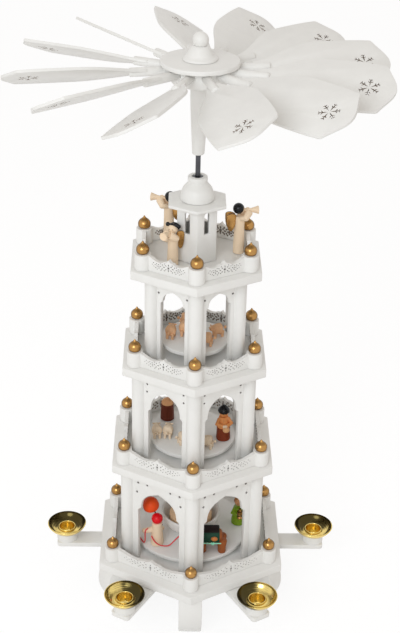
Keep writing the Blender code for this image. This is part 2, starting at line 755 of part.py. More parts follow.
def make_bearings():
    """Foot bearing with a conical pit, and the upper bush in the bell."""
    flange = DECK_TOPS[0] + SEAT_GAP
    foot = turned([
        (0.0, FLANGE_TOP - PIT_DEPTH), (PIT_RADIUS, FLANGE_TOP), (FLANGE_RADIUS, FLANGE_TOP),
        (FLANGE_RADIUS, flange), (PLUG_RADIUS, flange), (PLUG_RADIUS, flange - PLUG_DEPTH),
        (0.0, flange - PLUG_DEPTH),
    ])
    bore = clear_radius(SPINDLE_RADIUS, SPINDLE_STEPS, RUNNING_GAP)
    bush = turned(
        [(BUSH_RADIUS, BUSH_LENGTH), (BUSH_RADIUS, 0.0), (bore, 0.0), (bore, BUSH_LENGTH)],
        SPINDLE_STEPS, ring=True,
    )
    bush_foot = BELL_FOOT + BELL_HEIGHT - BUSH_INSET - BUSH_LENGTH
    add_part("foot_bearing", foot, "steel")
    add_part("upper_bush", bush, "steel", rise(bush_foot))


# Spindle, turntables, shaft, hub and wings
def make_spindle(rotor):
    """Steel rod with a pointed foot."""
    length = SPINDLE_TOP - SPINDLE_FOOT
    profile = [
        (0.0, length), (SPINDLE_RADIUS, length), (SPINDLE_RADIUS, SPINDLE_POINT), (0.0, 0.0),
    ]
    add_part("spindle", turned(profile, SPINDLE_STEPS), "steel", rise(SPINDLE_FOOT), rotor)


def make_turntables(rotor):
    """A disc with a collar in each storey, with the sheep that are glued on it."""
    bore = clear_radius(SPINDLE_RADIUS, TURNTABLE_STEPS)
    flocks = ((), LAMBS_2, SHEEP_3)
    for storey, top in enumerate(TURNTABLE_TOPS):
        radius = TURNTABLE_RADII[storey]
        disc = turned(
            [(radius, 0.0), (radius, -TURNTABLE_THICKNESS), (COLLAR_RADIUS, -TURNTABLE_THICKNESS),
             (COLLAR_RADIUS, -TURNTABLE_THICKNESS - COLLAR_HEIGHT),
             (bore, -TURNTABLE_THICKNESS - COLLAR_HEIGHT), (bore, 0.0)],
            TURNTABLE_STEPS, ring=True,
        )
        if flocks[storey]:
            sheep = sheep_mesh()
            flock = [(sheep, at_spot(one, one[2], -GLUED_DEPTH)) for one in flocks[storey]]
            disc = combined(disc, [group(flock)], "UNION")
        add_part(f"turntable_{storey + 1}", disc, "white_paint", rise(top), rotor)


def make_shaft(rotor):
    """Turned shaft that drops over the spindle and plugs into the hub."""
    bore = clear_radius(SPINDLE_RADIUS, TURNED_STEPS)
    head = SHAFT_LENGTH + SHAFT_TENON_HEIGHT
    profile = [
        (0.0, head), (TENON_RADIUS, head), (TENON_RADIUS, SHAFT_LENGTH),
        (SHAFT_HEAD_RADIUS, SHAFT_LENGTH), (SHAFT_HEAD_RADIUS, SHAFT_LENGTH - 0.0100),
        (SHAFT_FOOT_RADIUS, SHAFT_EDGE), (SHAFT_FOOT_RADIUS - SHAFT_EDGE, 0.0),
        (bore, 0.0), (bore, SHAFT_BORE_DEPTH), (0.0, SHAFT_BORE_DEPTH),
    ]
    add_part("shaft", turned(profile), "white_paint", rise(SHAFT_FOOT), rotor)


def make_hub(rotor):
    """Hub with a hole for each dowel, the disc on it and the knob."""
    bore = clear_radius(TENON_RADIUS, HUB_STEPS)
    block = turned(
        [(HUB_RADIUS - HUB_EDGE, HUB_HEIGHT), (HUB_RADIUS, HUB_HEIGHT - HUB_EDGE),
         (HUB_RADIUS, HUB_EDGE), (HUB_RADIUS - HUB_EDGE, 0.0), (bore, 0.0), (bore, HUB_HEIGHT)],
        HUB_STEPS, ring=True,
    )
    block.transform(spun(WING_FIRST_ANGLE + math.pi / HUB_STEPS))
    hole = rod(clear_radius(DOWEL_TENON_RADIUS, DOWEL_HOLE_STEPS), HUB_RADIUS, DOWEL_HOLE_STEPS)
    hole_start = HUB_RADIUS - DOWEL_TENON_DEPTH - SEAT_GAP
    along = Matrix.Translation((hole_start, 0.0, 0.0)) @ Matrix.Rotation(math.pi / 2, 4, "Y")
    holes = [(hole, rise(-HUB_FOOT) @ wing_place(i) @ along) for i in range(WING_COUNT)]
    mesh = combined(block, [group(holes)], "DIFFERENCE")
    add_part("hub", mesh, "white_paint", rise(HUB_FOOT), rotor)
    disc = turned(
        [(HUB_DISC_RADIUS - HUB_EDGE, HUB_DISC_THICKNESS),
         (HUB_DISC_RADIUS, HUB_DISC_THICKNESS - HUB_EDGE), (HUB_DISC_RADIUS, HUB_EDGE),
         (HUB_DISC_RADIUS - HUB_EDGE, 0.0), (bore, 0.0), (bore, HUB_DISC_THICKNESS)],
        HUB_STEPS, ring=True,
    )
    add_part("hub_disc", disc, "white_paint", rise(DISC_FOOT), rotor)
    neck_angle = math.degrees(math.acos(KNOB_NECK_RADIUS / KNOB_BALL_RADIUS))
    centre = KNOB_HEAD_HEIGHT + math.sqrt(KNOB_BALL_RADIUS ** 2 - KNOB_NECK_RADIUS ** 2)
    depth = HUB_DISC_THICKNESS + 2 * SEAT_GAP + KNOB_TENON_DEPTH
    profile = arc((0.0, centre), KNOB_BALL_RADIUS, 90.0, -neck_angle, 7)
    profile += [
        (KNOB_HEAD_RADIUS, KNOB_HEAD_HEIGHT), (KNOB_FLARE_RADIUS, KNOB_FLARE_HEIGHT),
        (KNOB_FOOT_RADIUS, 0.0), (TENON_RADIUS, 0.0), (TENON_RADIUS, -depth), (0.0, -depth),
    ]
    profile[0] = (0.0, centre + KNOB_BALL_RADIUS)
    add_part("hub_knob", turned(profile), "white_paint", rise(KNOB_FOOT), rotor)


def wing_place(index):
    """Place of a wing and its dowel: local X runs out from the hub axis, at the wing's pitch."""
    angle = WING_FIRST_ANGLE + index * 2 * math.pi / WING_COUNT
    return spun(angle) @ rise(WING_LEVEL) @ Matrix.Rotation(WING_PITCH, 4, "X")


def wing_outline():
    """Edge of a wing, narrow at the root and round at the tip."""
    flare = bezier((WING_ROOT, WING_ROOT_HALF), WING_FLARE_START, WING_FLARE_END, WING_SHOULDER,
                   WING_FLARE_STEPS)
    chord = WING_CORNER[1]
    sagitta = WING_TIP - WING_CORNER[0]
    radius = (chord ** 2 + sagitta ** 2) / (2 * sagitta)
    centre = WING_TIP - radius
    open_angle = math.degrees(math.atan2(chord, WING_CORNER[0] - centre))
    tip = arc((centre, 0.0), radius, open_angle, -open_angle, WING_TIP_STEPS)
    upper = flare + [WING_BELLY]
    return upper + tip + [(x, -y) for x, y in reversed(upper)]


def star_outline():
    """Six-pointed star cut through a wing."""
    points = []
    for i in range(2 * SIDES):
        radius = STAR_NOTCH if i % 2 else STAR_REACH
        angle = i * math.pi / SIDES
        points.append((STAR_PLACE + radius * math.cos(angle), radius * math.sin(angle)))
    return points


def make_wings(rotor):
    """Twelve wings, each glued in the slot of its dowel."""
    tenon_foot = HUB_RADIUS - DOWEL_TENON_DEPTH
    shoulder = HUB_RADIUS + SEAT_GAP
    stick = turned(
        [(0.0, DOWEL_END), (DOWEL_RADIUS - HUB_EDGE, DOWEL_END),
         (DOWEL_RADIUS, DOWEL_END - HUB_EDGE), (DOWEL_RADIUS, shoulder),
         (DOWEL_TENON_RADIUS, shoulder), (DOWEL_TENON_RADIUS, tenon_foot), (0.0, tenon_foot)],
        DOWEL_STEPS,
    )
    stick.transform(Matrix.Rotation(math.pi / 2, 4, "Y"))
    blade = board([wing_outline(), star_outline()], WING_THICKNESS)
    mesh = combined(blade, [stick], "UNION")
    for i in range(WING_COUNT):
        add_part(f"wing_{i + 1}", mesh.copy(), "white_paint", wing_place(i), rotor)


# Figures
def turned_figure(height, head, shoulder, foot):
    """Turned body with a round head, sloping shoulders and a long coat."""
    profile = arc((0.0, height - head), head, 90.0, -50.0, 5)
    profile[0] = (0.0, height)
    neck = height - 2 * head - NECK_DROP
    profile += [(shoulder, neck), (foot, HEM_HEIGHT), (foot, 0.0), (0.0, 0.0)]
    return turned(profile, FIGURE_STEPS)


def at_spot(spot, heading=0.0, height=SEAT_GAP):
    """Place of a figure on its turntable, just clear of it."""
    return Matrix.Translation((spot[0], spot[1], height)) @ spun(heading)


def sheep_mesh():
    """Sheep that stands on the origin and looks along +X."""
    others = [ball(SHEEP_HEAD, SHEEP_HEAD_PLACE, 6, 4)]
    for x, y in SHEEP_LEG_PLACES:
        others.append(rod_between((x, y, 0.0), (x, y, SHEEP_BODY_LEVEL),
                                  (SHEEP_LEG_RADIUS, SHEEP_LEG_RADIUS), 4))
    body = ball(SHEEP_BODY, (0.0, 0.0, SHEEP_BODY_LEVEL), 7, 5)
    return combined(body, others, "UNION")


def elephant_mesh():
    """Elephant that stands on the origin and looks along +X."""
    head = ELEPHANT_HEAD_RADIUS
    others = [ball((head, head, head), ELEPHANT_HEAD_PLACE, 8, 5)]
    others.append(rod_between(*ELEPHANT_TRUNK, ELEPHANT_TRUNK_RADII, 6))
    for x, y in ELEPHANT_LEG_PLACES:
        others.append(rod_between((x, y, 0.0), (x, y, ELEPHANT_BODY_LEVEL),
                                  (ELEPHANT_LEG_RADIUS, ELEPHANT_LEG_RADIUS), 6))
    body = ball(ELEPHANT_BODY, (0.0, 0.0, ELEPHANT_BODY_LEVEL), 9, 7)
    return combined(body, others, "UNION")


def driver_mesh():
    """Driver with one arm held out and one raised to the parasol, at the origin."""
    arms = [
        rod_between(*DRIVER_ARM, DRIVER_ARM_RADII, 6),
        rod_between(*DRIVER_FOREARM, DRIVER_FOREARM_RADII, 6),
    ]
    return combined(turned_figure(*DRIVER[2:]), arms, "UNION")


def parasol_mesh():
    """Closed parasol on a thin stick that leans over the driver, who stands at the origin."""
    stick = rod_between(*PARASOL_STICK, (PARASOL_STICK_RADIUS, PARASOL_STICK_RADIUS), 6)
    return combined(ball(PARASOL_CANOPY, PARASOL_CENTRE, 12, 8), [stick], "UNION")


def king_mesh():
    """King with his vessel held in front, at the origin."""
    body = turned_figure(*KING[2:])
    reach = Vector((math.cos(VESSEL_ANGLE), math.sin(VESSEL_ANGLE), 0.0)) * VESSEL_REACH
    low = reach + Vector((0.0, 0.0, VESSEL_LEVEL))
    high = low + Vector((0.0, 0.0, VESSEL_HEIGHT))
    vessel = rod_between(low, high, (VESSEL_RADIUS, VESSEL_RADIUS), 8)
    middle = (low + high) / 2
    arms = rod_between((0.0, 0.0, middle.z), middle, (VESSEL_RADIUS, ANGEL_ARM_RADIUS), 6)
    return combined(body, [vessel, arms], "UNION")


def bowl_mesh():
    """White bowl round the spindle, with a turned core in it."""
    bore = clear_radius(SPINDLE_RADIUS, BOWL_STEPS)
    core_top = BOWL_WALL + CORE_HEIGHT
    profile = [
        (BOWL_RADIUS, BOWL_HEIGHT), (BOWL_BELLY_RADIUS, BOWL_BELLY_HEIGHT),
        (BOWL_FOOT_RADIUS, 0.0), (bore, 0.0), (bore, core_top),
        (CORE_RADIUS - CORE_ROUND, core_top), (CORE_RADIUS, core_top - CORE_ROUND),
        (CORE_RADIUS, BOWL_WALL), (BOWL_BELLY_RADIUS - BOWL_WALL, BOWL_BELLY_HEIGHT),
        (BOWL_RADIUS - BOWL_WALL, BOWL_HEIGHT),
    ]
    return turned(profile, BOWL_STEPS, ring=True)


def make_figures(rotor):
    """Figures that stand on the turntables."""
    pieces = (
        ("driver", driver_mesh(), DRIVER, 0.0, 0),
        ("parasol", parasol_mesh(), DRIVER, 0.0, 0),
        ("king", king_mesh(), KING, 0.0, 0),
        ("elephant", elephant_mesh(), ELEPHANT_PLACE, ELEPHANT_HEADING, 0),
        ("bowl", bowl_mesh(), (0.0, 0.0), 0.0, 0),
        ("shepherd_1", turned_figure(*SHEPHERDS[0][2:]), SHEPHERDS[0], 0.0, 1),
        ("shepherd_2", turned_figure(*SHEPHERDS[1][2:]), SHEPHERDS[1], 0.0, 1),
    )
    for name, mesh, spot, heading, storey in pieces:
        place = rise(TURNTABLE_TOPS[storey]) @ at_spot(spot, heading)
        add_part(name, mesh, "pale_wood", place, rotor)


def make_angels():
    """Three trumpeting angels on the gallery, each with a pair of wings on the back."""
    wings = board(
        [[(x * ANGEL_WING_HALF_SPAN, y * ANGEL_WING_HALF_HEIGHT)
          for x, y in circle(1.0, ANGEL_WING_STEPS)]],
        ANGEL_WING_THICKNESS,
    )
    for number, (x, y, height, heading) in enumerate(ANGELS, 1):
        body = turned_figure(height, ANGEL_HEAD_RADIUS, ANGEL_SHOULDER_RADIUS, ANGEL_FOOT_RADIUS)
        mouth = height - ANGEL_HEAD_RADIUS - ANGEL_MOUTH_DROP
        trumpet = rod_between((0.0, 0.0, mouth), (TRUMPET_REACH, 0.0, mouth), TRUMPET_RADII, 8)
        shoulder = height - 2 * ANGEL_HEAD_RADIUS - 2 * NECK_DROP
        hand = (ANGEL_HAND_REACH, 0.0, mouth)
        arms = []
        for side in (-1.0, 1.0):
            start = (0.0, side * (ANGEL_SHOULDER_RADIUS - ANGEL_ARM_RADIUS / 2), shoulder)
            arms.append(rod_between(start, hand, (ANGEL_ARM_RADIUS, ANGEL_ARM_RADIUS), 6))
        back = wings.copy()
        upright = Matrix.Rotation(math.pi / 2, 4, "Z") @ stand_up()
        middle = shoulder - ANGEL_WING_HALF_HEIGHT / 2
        back.transform(Matrix.Translation((-ANGEL_WING_SETBACK, 0.0, middle)) @ upright)
        mesh = combined(body, [back, trumpet] + arms, "UNION", "MANIFOLD")
        place = rise(DECK_TOPS[-1]) @ at_spot((x, y), heading)
        add_part(f"angel_{number}", mesh, "pale_wood", place)


# Lead
def smooth_route(points, spacing):
    """Evenly spaced points on a smooth curve through the given ones."""
    path = [Vector(point) for point in points]
    path = [2 * path[0] - path[1]] + path + [2 * path[-1] - path[-2]]
    fine = []
    for a, b, c, d in zip(path, path[1:], path[2:], path[3:]):
        for i in range(24):
            t = i / 24
            fine.append(0.5 * (
                2 * b + (c - a) * t + (2 * a - 5 * b + 4 * c - d) * t * t
                + (3 * b - a - 3 * c + d) * t ** 3
            ))
    fine.append(path[-2])
    length = sum((b - a).length for a, b in zip(fine, fine[1:]))
    count = max(2, round(length / spacing))
    route = [fine[0]]
    travelled = 0.0
    for a, b in zip(fine, fine[1:]):
        step = (b - a).length
        while len(route) < count and travelled + step >= len(route) * length / count:
            route.append(a.lerp(b, (len(route) * length / count - travelled) / step))
        travelled += step
    route.append(fine[-1])
    return route


def make_red_lead(rotor):
    """Red cord from the driver to the elephant, and its loose tail."""
    for name, points in (("red_lead", LEAD_ROUTE), ("lead_tail", TAIL_ROUTE)):
        curve = bpy.data.curves.new(name, "CURVE")
        curve.dimensions = "3D"
        curve.bevel_depth = LEAD_RADIUS
        curve.bevel_resolution = 2
        curve.use_fill_caps = True
        route = smooth_route(points, LEAD_SPACING)
        spline = curve.splines.new("POLY")
        spline.points.add(len(route) - 1)
        for point, place in zip(spline.points, route):
            point.co = (*place, 1.0)
        mesh = meshed(bpy.data.objects.new(name, curve))
        add_part(name, mesh, "red_cord", rise(TURNTABLE_TOPS[0]), rotor)


def make_rotor():
    """Empty on the upright axis that carries everything that turns."""
    rotor = bpy.data.objects.new("rotor", None)
    rotor.empty_display_type = "ARROWS"
    rotor.empty_display_size = 0.05
    PARTS.objects.link(rotor)
    return rotor


clear_scene()
PARTS = new_collection("christmas_pyramid")
CUTTERS = new_collection("cutters")

make_candle_arms()
make_candle_cups()
make_plates()
make_parapets()
make_colonnades()
make_tower()
make_tower_roof()
make_bell_cap()
make_bearings()
make_angels()

rotor_axis = make_rotor()
make_spindle(rotor_axis)
make_turntables(rotor_axis)
make_shaft(rotor_axis)
make_hub(rotor_axis)
make_wings(rotor_axis)
make_figures(rotor_axis)
make_red_lead(rotor_axis)
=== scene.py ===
"""Looks of a wooden christmas pyramid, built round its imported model.

Three storeys of columns and arches stand on a base with six candle cups. A gallery with a small
tower and trumpeting angels closes them, and a wing wheel turns the figures on their turntables.
Metres, +Z up, one corner of every hexagon points to the front, -Y.
"""

import math

import bpy
from mathutils import Matrix, Vector


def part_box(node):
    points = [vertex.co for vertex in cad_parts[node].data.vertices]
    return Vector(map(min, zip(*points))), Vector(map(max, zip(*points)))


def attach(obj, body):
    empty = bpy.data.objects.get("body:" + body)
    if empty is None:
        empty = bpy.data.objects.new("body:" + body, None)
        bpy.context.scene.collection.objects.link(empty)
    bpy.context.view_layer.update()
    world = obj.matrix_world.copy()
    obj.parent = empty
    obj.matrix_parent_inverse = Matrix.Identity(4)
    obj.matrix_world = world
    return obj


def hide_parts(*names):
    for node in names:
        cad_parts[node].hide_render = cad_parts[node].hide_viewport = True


bl_info = {
    "name": "Christmas Pyramid",
    "version": (1, 0, 0),
    "blender": (4, 5, 0),
    "location": "3D View > Sidebar > Pyramid",
    "description": "Builds a candle-driven christmas pyramid piece by piece",
    "category": "Add Mesh",
}

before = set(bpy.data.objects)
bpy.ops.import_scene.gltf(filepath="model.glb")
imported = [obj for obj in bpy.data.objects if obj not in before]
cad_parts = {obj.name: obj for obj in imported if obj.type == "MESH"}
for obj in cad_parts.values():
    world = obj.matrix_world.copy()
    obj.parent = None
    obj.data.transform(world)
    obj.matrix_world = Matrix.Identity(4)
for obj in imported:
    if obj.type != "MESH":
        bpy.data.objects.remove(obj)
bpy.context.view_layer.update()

# Camera of the photograph
CAMERA_PLACE = (-0.01772, -1.03138, 0.85299)
CAMERA_TURN = (61.7143, -1.1826, -0.6071)
CAMERA_LENS = 73.837
CAMERA_SENSOR = 36.0

# Hexagonal layout
SIDES = 6
FRONT_CORNER = -90.0
PLATE_RADII = (0.1005, 0.0855, 0.0740, 0.0654)
POST_INSETS = (0.0146, 0.0128, 0.0126, 0.0120)
COLUMN_CIRCLES = (0.0690, 0.0570, 0.0440)
COLUMN_RADIUS = 0.0066
SEAT_GAP = 0.0003
SPINDLE_RADIUS = 0.0022
SPINDLE_HOLE = 0.0045
POST_HEIGHT = 0.0142
POST_RADIUS = 0.0072

# Arch boards: half width of the opening, its shoulder, springing and peak above the plate
ARCH_SIZES = (
    (0.0223, 0.0030, 0.0570, 0.0816),
    (0.0178, 0.0024, 0.0550, 0.0780),
    (0.0122, 0.0019, 0.0610, 0.0738),
)
# Small round holes in each arch board: sideways, height above the plate and radius
ARCH_DOTS = (
    ((0.0222, 0.0880, 0.0011), (0.0124, 0.0882, 0.0010), (0.0234, 0.0773, 0.0011)),
    ((0.0188, 0.0830, 0.0010), (0.0190, 0.0750, 0.0010)),
    ((0.0142, 0.0706, 0.0010),),
)

# Wing wheel
WING_COUNT = 12
WING_FIRST_ANGLE = -79.0
WING_LEVEL = 0.5277
HUB_RADIUS = 0.0240
HUB_DISC_RADIUS = 0.0330
STAR_PLACE = 0.1400
STAR_REACH = 0.0092
# How far each wing sits off its even place, in degrees: sideways and about its own axis
WING_SLACK = (
    (2.0, 0.0), (3.0, 0.0), (2.0, 0.0), (-1.5, 0.0), (-3.0, -5.0), (-4.0, 0.0),
    (-5.0, 0.0), (-4.5, 0.0), (-5.0, -2.0), (0.0, 0.0), (-2.0, 0.0), (-2.0, 0.0),
)
# The wings lean sideways about this point of their dowels
WING_PIVOT = 0.0290
DOWEL_RADIUS = 0.0038
DOWEL_END = 0.0590
PLUG_RADIUS = 0.0024
PLUG_DEPTH = 0.0110

# Candle cups
CUP_CIRCLE = 0.1216
SOCKET_BORE = 0.0074
# Directions of the painted dark reflection on each brass cup, in degrees
CUP_PAINTED_REFLECTION = (170.0, 95.0, 60.0, 100.0, 85.0, 10.0)

# Turntables and the figures on them: x, y and height
TURNTABLE_RADII = (0.0555, 0.0405, 0.0314)
TURNTABLE_THICKNESS = 0.0036
COLLAR_DROP = 0.0022
DRIVER = (-0.0324, -0.0298, 0.0342)
KING = (0.0472, 0.0046, 0.0292)
SHEPHERD_1 = (-0.0240, 0.0244, 0.0225)
SHEPHERD_2 = (0.0288, -0.0092, 0.0367)
ELEPHANT = (0.0200, -0.0380, 180.0)
LAMBS_2 = (
    (-0.0230, -0.0075, 80.0), (-0.0090, -0.0185, 25.0),
    (0.0144, -0.0245, 160.0), (-0.0335, -0.0075, 95.0),
)
SHEEP_3 = (
    (-0.0215, -0.0020, 75.0), (-0.0080, 0.0220, 10.0), (-0.0095, 0.0035, 95.0),
    (0.0215, 0.0018, 200.0), (0.0115, -0.0150, 170.0),
)
ANGELS = (
    (-0.0205, -0.0178, 0.0385, -120.0), (0.0374, 0.0078, 0.0465, 8.0),
    (-0.0245, 0.0305, 0.0470, 165.0),
)

# Red lead and its loose tail, above the lowest turntable
LEAD_ROUTE = (
    (-0.0376, -0.0338, 0.0115), (-0.0358, -0.0370, 0.0095), (-0.0328, -0.0386, 0.0066),
    (-0.0289, -0.0392, 0.0046), (-0.0246, -0.0394, 0.0040), (-0.0209, -0.0394, 0.0046),
    (-0.0177, -0.0393, 0.0078), (-0.0137, -0.0392, 0.0128), (-0.0087, -0.0390, 0.0180),
    (-0.0045, -0.0387, 0.0200), (-0.0013, -0.0385, 0.0203),
)
TAIL_ROUTE = (
    (-0.0412, -0.0312, 0.0184), (-0.0434, -0.0330, 0.0172), (-0.0438, -0.0338, 0.0135),
    (-0.0438, -0.0336, 0.0085), (-0.0441, -0.0328, 0.0042), (-0.0450, -0.0308, 0.0014),
    (-0.0472, -0.0266, 0.0010), (-0.0496, -0.0212, 0.0010), (-0.0510, -0.0165, 0.0010),
)


# What a user would change
def paint_colour(label, note, default):
    """Colour of one finish."""
    return bpy.props.FloatVectorProperty(name=label, description=note, subtype="COLOR", size=3,
                                         min=0.0, max=1.0, default=default)


def thickness(label, note, low, high, default):
    """Thickness of one kind of piece."""
    return bpy.props.FloatProperty(name=label, description=note, unit="LENGTH",
                                   subtype="DISTANCE", min=low, max=high, default=default)


class PyramidPaints(bpy.types.PropertyGroup):
    """Colours of the paints, woods and metals."""

    white: paint_colour("White paint", "Boards and turned pieces", (0.83, 0.825, 0.80))
    gold: paint_colour("Gold paint", "Finials, angels' wings and the king's vessel",
                       (0.50, 0.27, 0.085))
    brass: paint_colour("Brass", "Spun sheet brass of the candle cups", (0.80, 0.61, 0.21))
    steel: paint_colour("Steel", "Drawn steel of the spindle", (0.10, 0.10, 0.11))
    beech: paint_colour("Pale wood", "Bare wood of the angels and smaller figures",
                        (0.93, 0.63, 0.42))
    red: paint_colour("Red paint", "Cap of the driver, and the lead", (0.80, 0.006, 0.014))
    orange: paint_colour("Orange paint", "Canopy of the driver's parasol", (0.88, 0.085, 0.010))
    green: paint_colour("Green paint", "Robe of the king", (0.20, 0.33, 0.012))
    brown: paint_colour("Brown stain", "Elephant on the lowest turntable", (0.36, 0.105, 0.028))


class PyramidSizes(bpy.types.PropertyGroup):
    """Sizes that can change without moving anything else."""

    board: thickness("Parapet board", "Boards of the parapets", 0.0020, 0.0045, 0.0035)
    arch: thickness("Arch board", "Boards between the columns", 0.0020, 0.0050, 0.0040)
    wing: thickness("Wing board", "Blade of each wing", 0.0010, 0.0030, 0.0024)
    lead: thickness("Red lead", "The red cord", 0.0006, 0.0020, 0.0012)
    pitch: bpy.props.FloatProperty(name="Wing pitch", description="Slope of each wing at rest",
                                   subtype="ANGLE", min=0.1, max=1.2,
                                   default=math.radians(28.0))


# Selecting
def nothing_selected():
    """Object mode with nothing selected, because the frame's nodes come in selected."""
    if bpy.context.mode != "OBJECT":
        bpy.ops.object.mode_set(mode="OBJECT")
    bpy.ops.object.select_all(action="DESELECT")


def only(piece):
    """Make this the one selected and active piece."""
    nothing_selected()
    piece.select_set(True)
    bpy.context.view_layer.objects.active = piece
    return piece


# Making pieces
def traced(name, points):
    """Line drawn from one vertex by extruding it from point to point, left in edit mode."""
    nothing_selected()
    bpy.ops.mesh.primitive_plane_add(size=0.002)
    piece = bpy.context.object
    piece.name = name
    bpy.ops.object.mode_set(mode="EDIT")
    bpy.ops.mesh.merge(type="CENTER")
    bpy.ops.transform.translate(value=points[0])
    for here, there in zip(points, points[1:]):
        step = Vector(there) - Vector(here)
        bpy.ops.mesh.extrude_region_move(TRANSFORM_OT_translate={"value": step})
    return piece


def closed_up():
    """Weld what was drawn, turn its faces outwards and leave edit mode."""
    bpy.ops.mesh.select_all(action="SELECT")
    bpy.ops.mesh.remove_doubles(threshold=0.000002)
    bpy.ops.mesh.normals_make_consistent(inside=False)
    bpy.ops.object.mode_set(mode="OBJECT")


def turned(name, profile, steps=48, closed=False):
    """Turned piece; the profile's (radius, height) points run down its outer side."""
    points = [(radius, 0.0, height) for radius, height in profile]
    if closed:
        points.append(points[0])
    piece = traced(name, points)
    bpy.ops.mesh.select_all(action="SELECT")
    bpy.ops.mesh.spin(steps=steps, angle=math.tau, center=(0.0, 0.0, 0.0), axis=(0.0, 0.0, 1.0))
    closed_up()
    return piece


def sawn(name, outline, thickness):
    """Flat board about the XY plane, cut to this outline."""
    piece = traced(name, [(x, y, -thickness / 2) for x, y in outline])
    bpy.ops.mesh.select_all(action="SELECT")
    bpy.ops.mesh.edge_face_add()
    bpy.ops.mesh.extrude_region_move(TRANSFORM_OT_translate={"value": (0.0, 0.0, thickness)})
    closed_up()
    return piece


def changed(piece, kind, **settings):
    """Give a piece one modifier and apply it."""
    only(piece)
    modifier = piece.modifiers.new(kind.title(), kind)
    for name, value in settings.items():
        setattr(modifier, name, value)
    bpy.ops.object.modifier_apply(modifier=modifier.name)
    return piece


def eased(piece, width, segments=2, angle=35.0):
    """Round the sharp edges of a piece."""
    return changed(
        piece, "BEVEL", width=width, segments=segments, limit_method="ANGLE",
        angle_limit=math.radians(angle), use_clamp_overlap=True,
    )


def smoothed(piece, angle=40.0):
    """Shade a piece smooth, apart from its sharp edges."""
    only(piece)
    bpy.ops.object.shade_smooth_by_angle(angle=math.radians(angle))
    return piece


def settled(piece, place=None):
    """Move a piece to its place and put the place in its mesh."""
    if place is not None:
        piece.matrix_world = place @ piece.matrix_world
    only(piece)
    bpy.ops.object.transform_apply(location=True, rotation=True, scale=True)
    return piece


def raised(piece, height):
    """Lift a piece along the upright axis."""
    return settled(piece, moved(0.0, 0.0, height))


def copied(piece, name, place):
    """A copy with its own mesh at another place."""
    only(piece)
    bpy.ops.object.duplicate(linked=False)
    twin = bpy.context.object
    twin.name = name
    return settled(twin, place)


def joined(name, pieces):
    """Several pieces made one object."""
    nothing_selected()
    for piece in pieces:
        piece.select_set(True)
    bpy.context.view_layer.objects.active = pieces[0]
    bpy.ops.object.join()
    whole = bpy.context.object
    whole.name = name
    return whole


def ringed(name, piece, places):
    """Copies of one piece at several places, made one object; the pattern piece is used up."""
    copies = [copied(piece, f"{name}_{i}", place) for i, place in enumerate(places)]
    bpy.data.objects.remove(piece, do_unlink=True)
    return joined(name, copies)


def cut(piece, cutter):
    """Cut one piece out of another; the cut faces keep the cutter's finish."""
    changed(piece, "BOOLEAN", operation="DIFFERENCE", solver="EXACT", object=cutter,
            use_self=True, material_mode="TRANSFER")
    bpy.data.objects.remove(cutter, do_unlink=True)
    if not piece.data.polygons:
        raise RuntimeError(f"{piece.name}: nothing was left after the cut")
    return piece


def painted(piece, material):
    """Put one finish on a whole piece."""
    piece.data.materials.clear()
    piece.data.materials.append(material)
    return piece


def mounted(piece, body, *nodes, slot=None):
    """Let a finished piece ride on its body, in place of the frame's nodes."""
    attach(piece, body)
    if nodes:
        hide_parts(*nodes)
    return piece


def white_piece(piece, body, node, place=None):
    """Settle, paint and mount a white piece that stands for one node of the frame."""
    painted(settled(piece, place), white())
    return mounted(piece, body, node, slot="white_paint")


def bead(name, radii, centre, material, columns=20, rows=12):
    """Painted ball with its poles up and down."""
    angles = [math.pi * i / rows for i in range(1, rows)]
    profile = [(0.0, 1.0)] + [(math.sin(a), math.cos(a)) for a in angles] + [(0.0, -1.0)]
    ball = settled(turned(name, profile, columns),
                   Matrix.Translation(centre) @ Matrix.Diagonal((*radii, 1.0)))
    return painted(ball, material)


def grown(name, lines, levels=2):
    """Limbs of an animal or figure, grown round lines of (x, y, z, radius) points."""
    limbs = []
    for line in lines:
        limbs.append(traced(name, [point[:3] for point in line]))
        bpy.ops.object.mode_set(mode="OBJECT")
    body = joined(name, limbs)
    bpy.ops.object.mode_set(mode="EDIT")
    bpy.ops.mesh.select_all(action="SELECT")
    bpy.ops.mesh.remove_doubles(threshold=0.00005)
    bpy.ops.object.mode_set(mode="OBJECT")
    knots = [point for line in lines for point in line]
    skin = body.modifiers.new("Skin", "SKIN")
    for vert, flesh in zip(body.data.vertices, body.data.skin_vertices[0].data):
        nearest = min(knots, key=lambda knot: (Vector(knot[:3]) - vert.co).length)
        flesh.radius = (nearest[3], nearest[3])
    only(body)
    bpy.ops.object.modifier_apply(modifier=skin.name)
    changed(body, "SUBSURF", levels=levels, render_levels=levels)
    return smoothed(body, 80.0)


def tube(name, points, radii, material, steps=12):
    """Painted round stick through a few points, thicker or thinner along its way."""
    sections = []
    rings = []
    previous = None
    for i, point in enumerate(points):
        after = Vector(points[min(i + 1, len(points) - 1)])
        before = Vector(points[max(i - 1, 0)])
        along = (after - before).normalized()
        if previous is None:
            side = along.orthogonal().normalized()
        else:
            side = (previous - along * previous.dot(along)).normalized()
        previous = side
        other = along.cross(side)
        ring = []
        for k in range(steps):
            angle = math.tau * k / steps
            offset = side * math.cos(angle) + other * math.sin(angle)
            ring.append(len(sections))
            sections.append(Vector(point) + offset * radii[i])
        rings.append(ring)
    faces = [list(reversed(rings[0])), rings[-1]]
    for low, high in zip(rings, rings[1:]):
        for k in range(steps):
            faces.append((low[k], low[(k + 1) % steps], high[(k + 1) % steps], high[k]))
    mesh = bpy.data.meshes.new(name)
    mesh.from_pydata(sections, [], faces)
    piece = bpy.data.objects.new(name, mesh)
    bpy.context.scene.collection.objects.link(piece)
    return painted(smoothed(eased(piece, min(radii) * 0.35)), material)


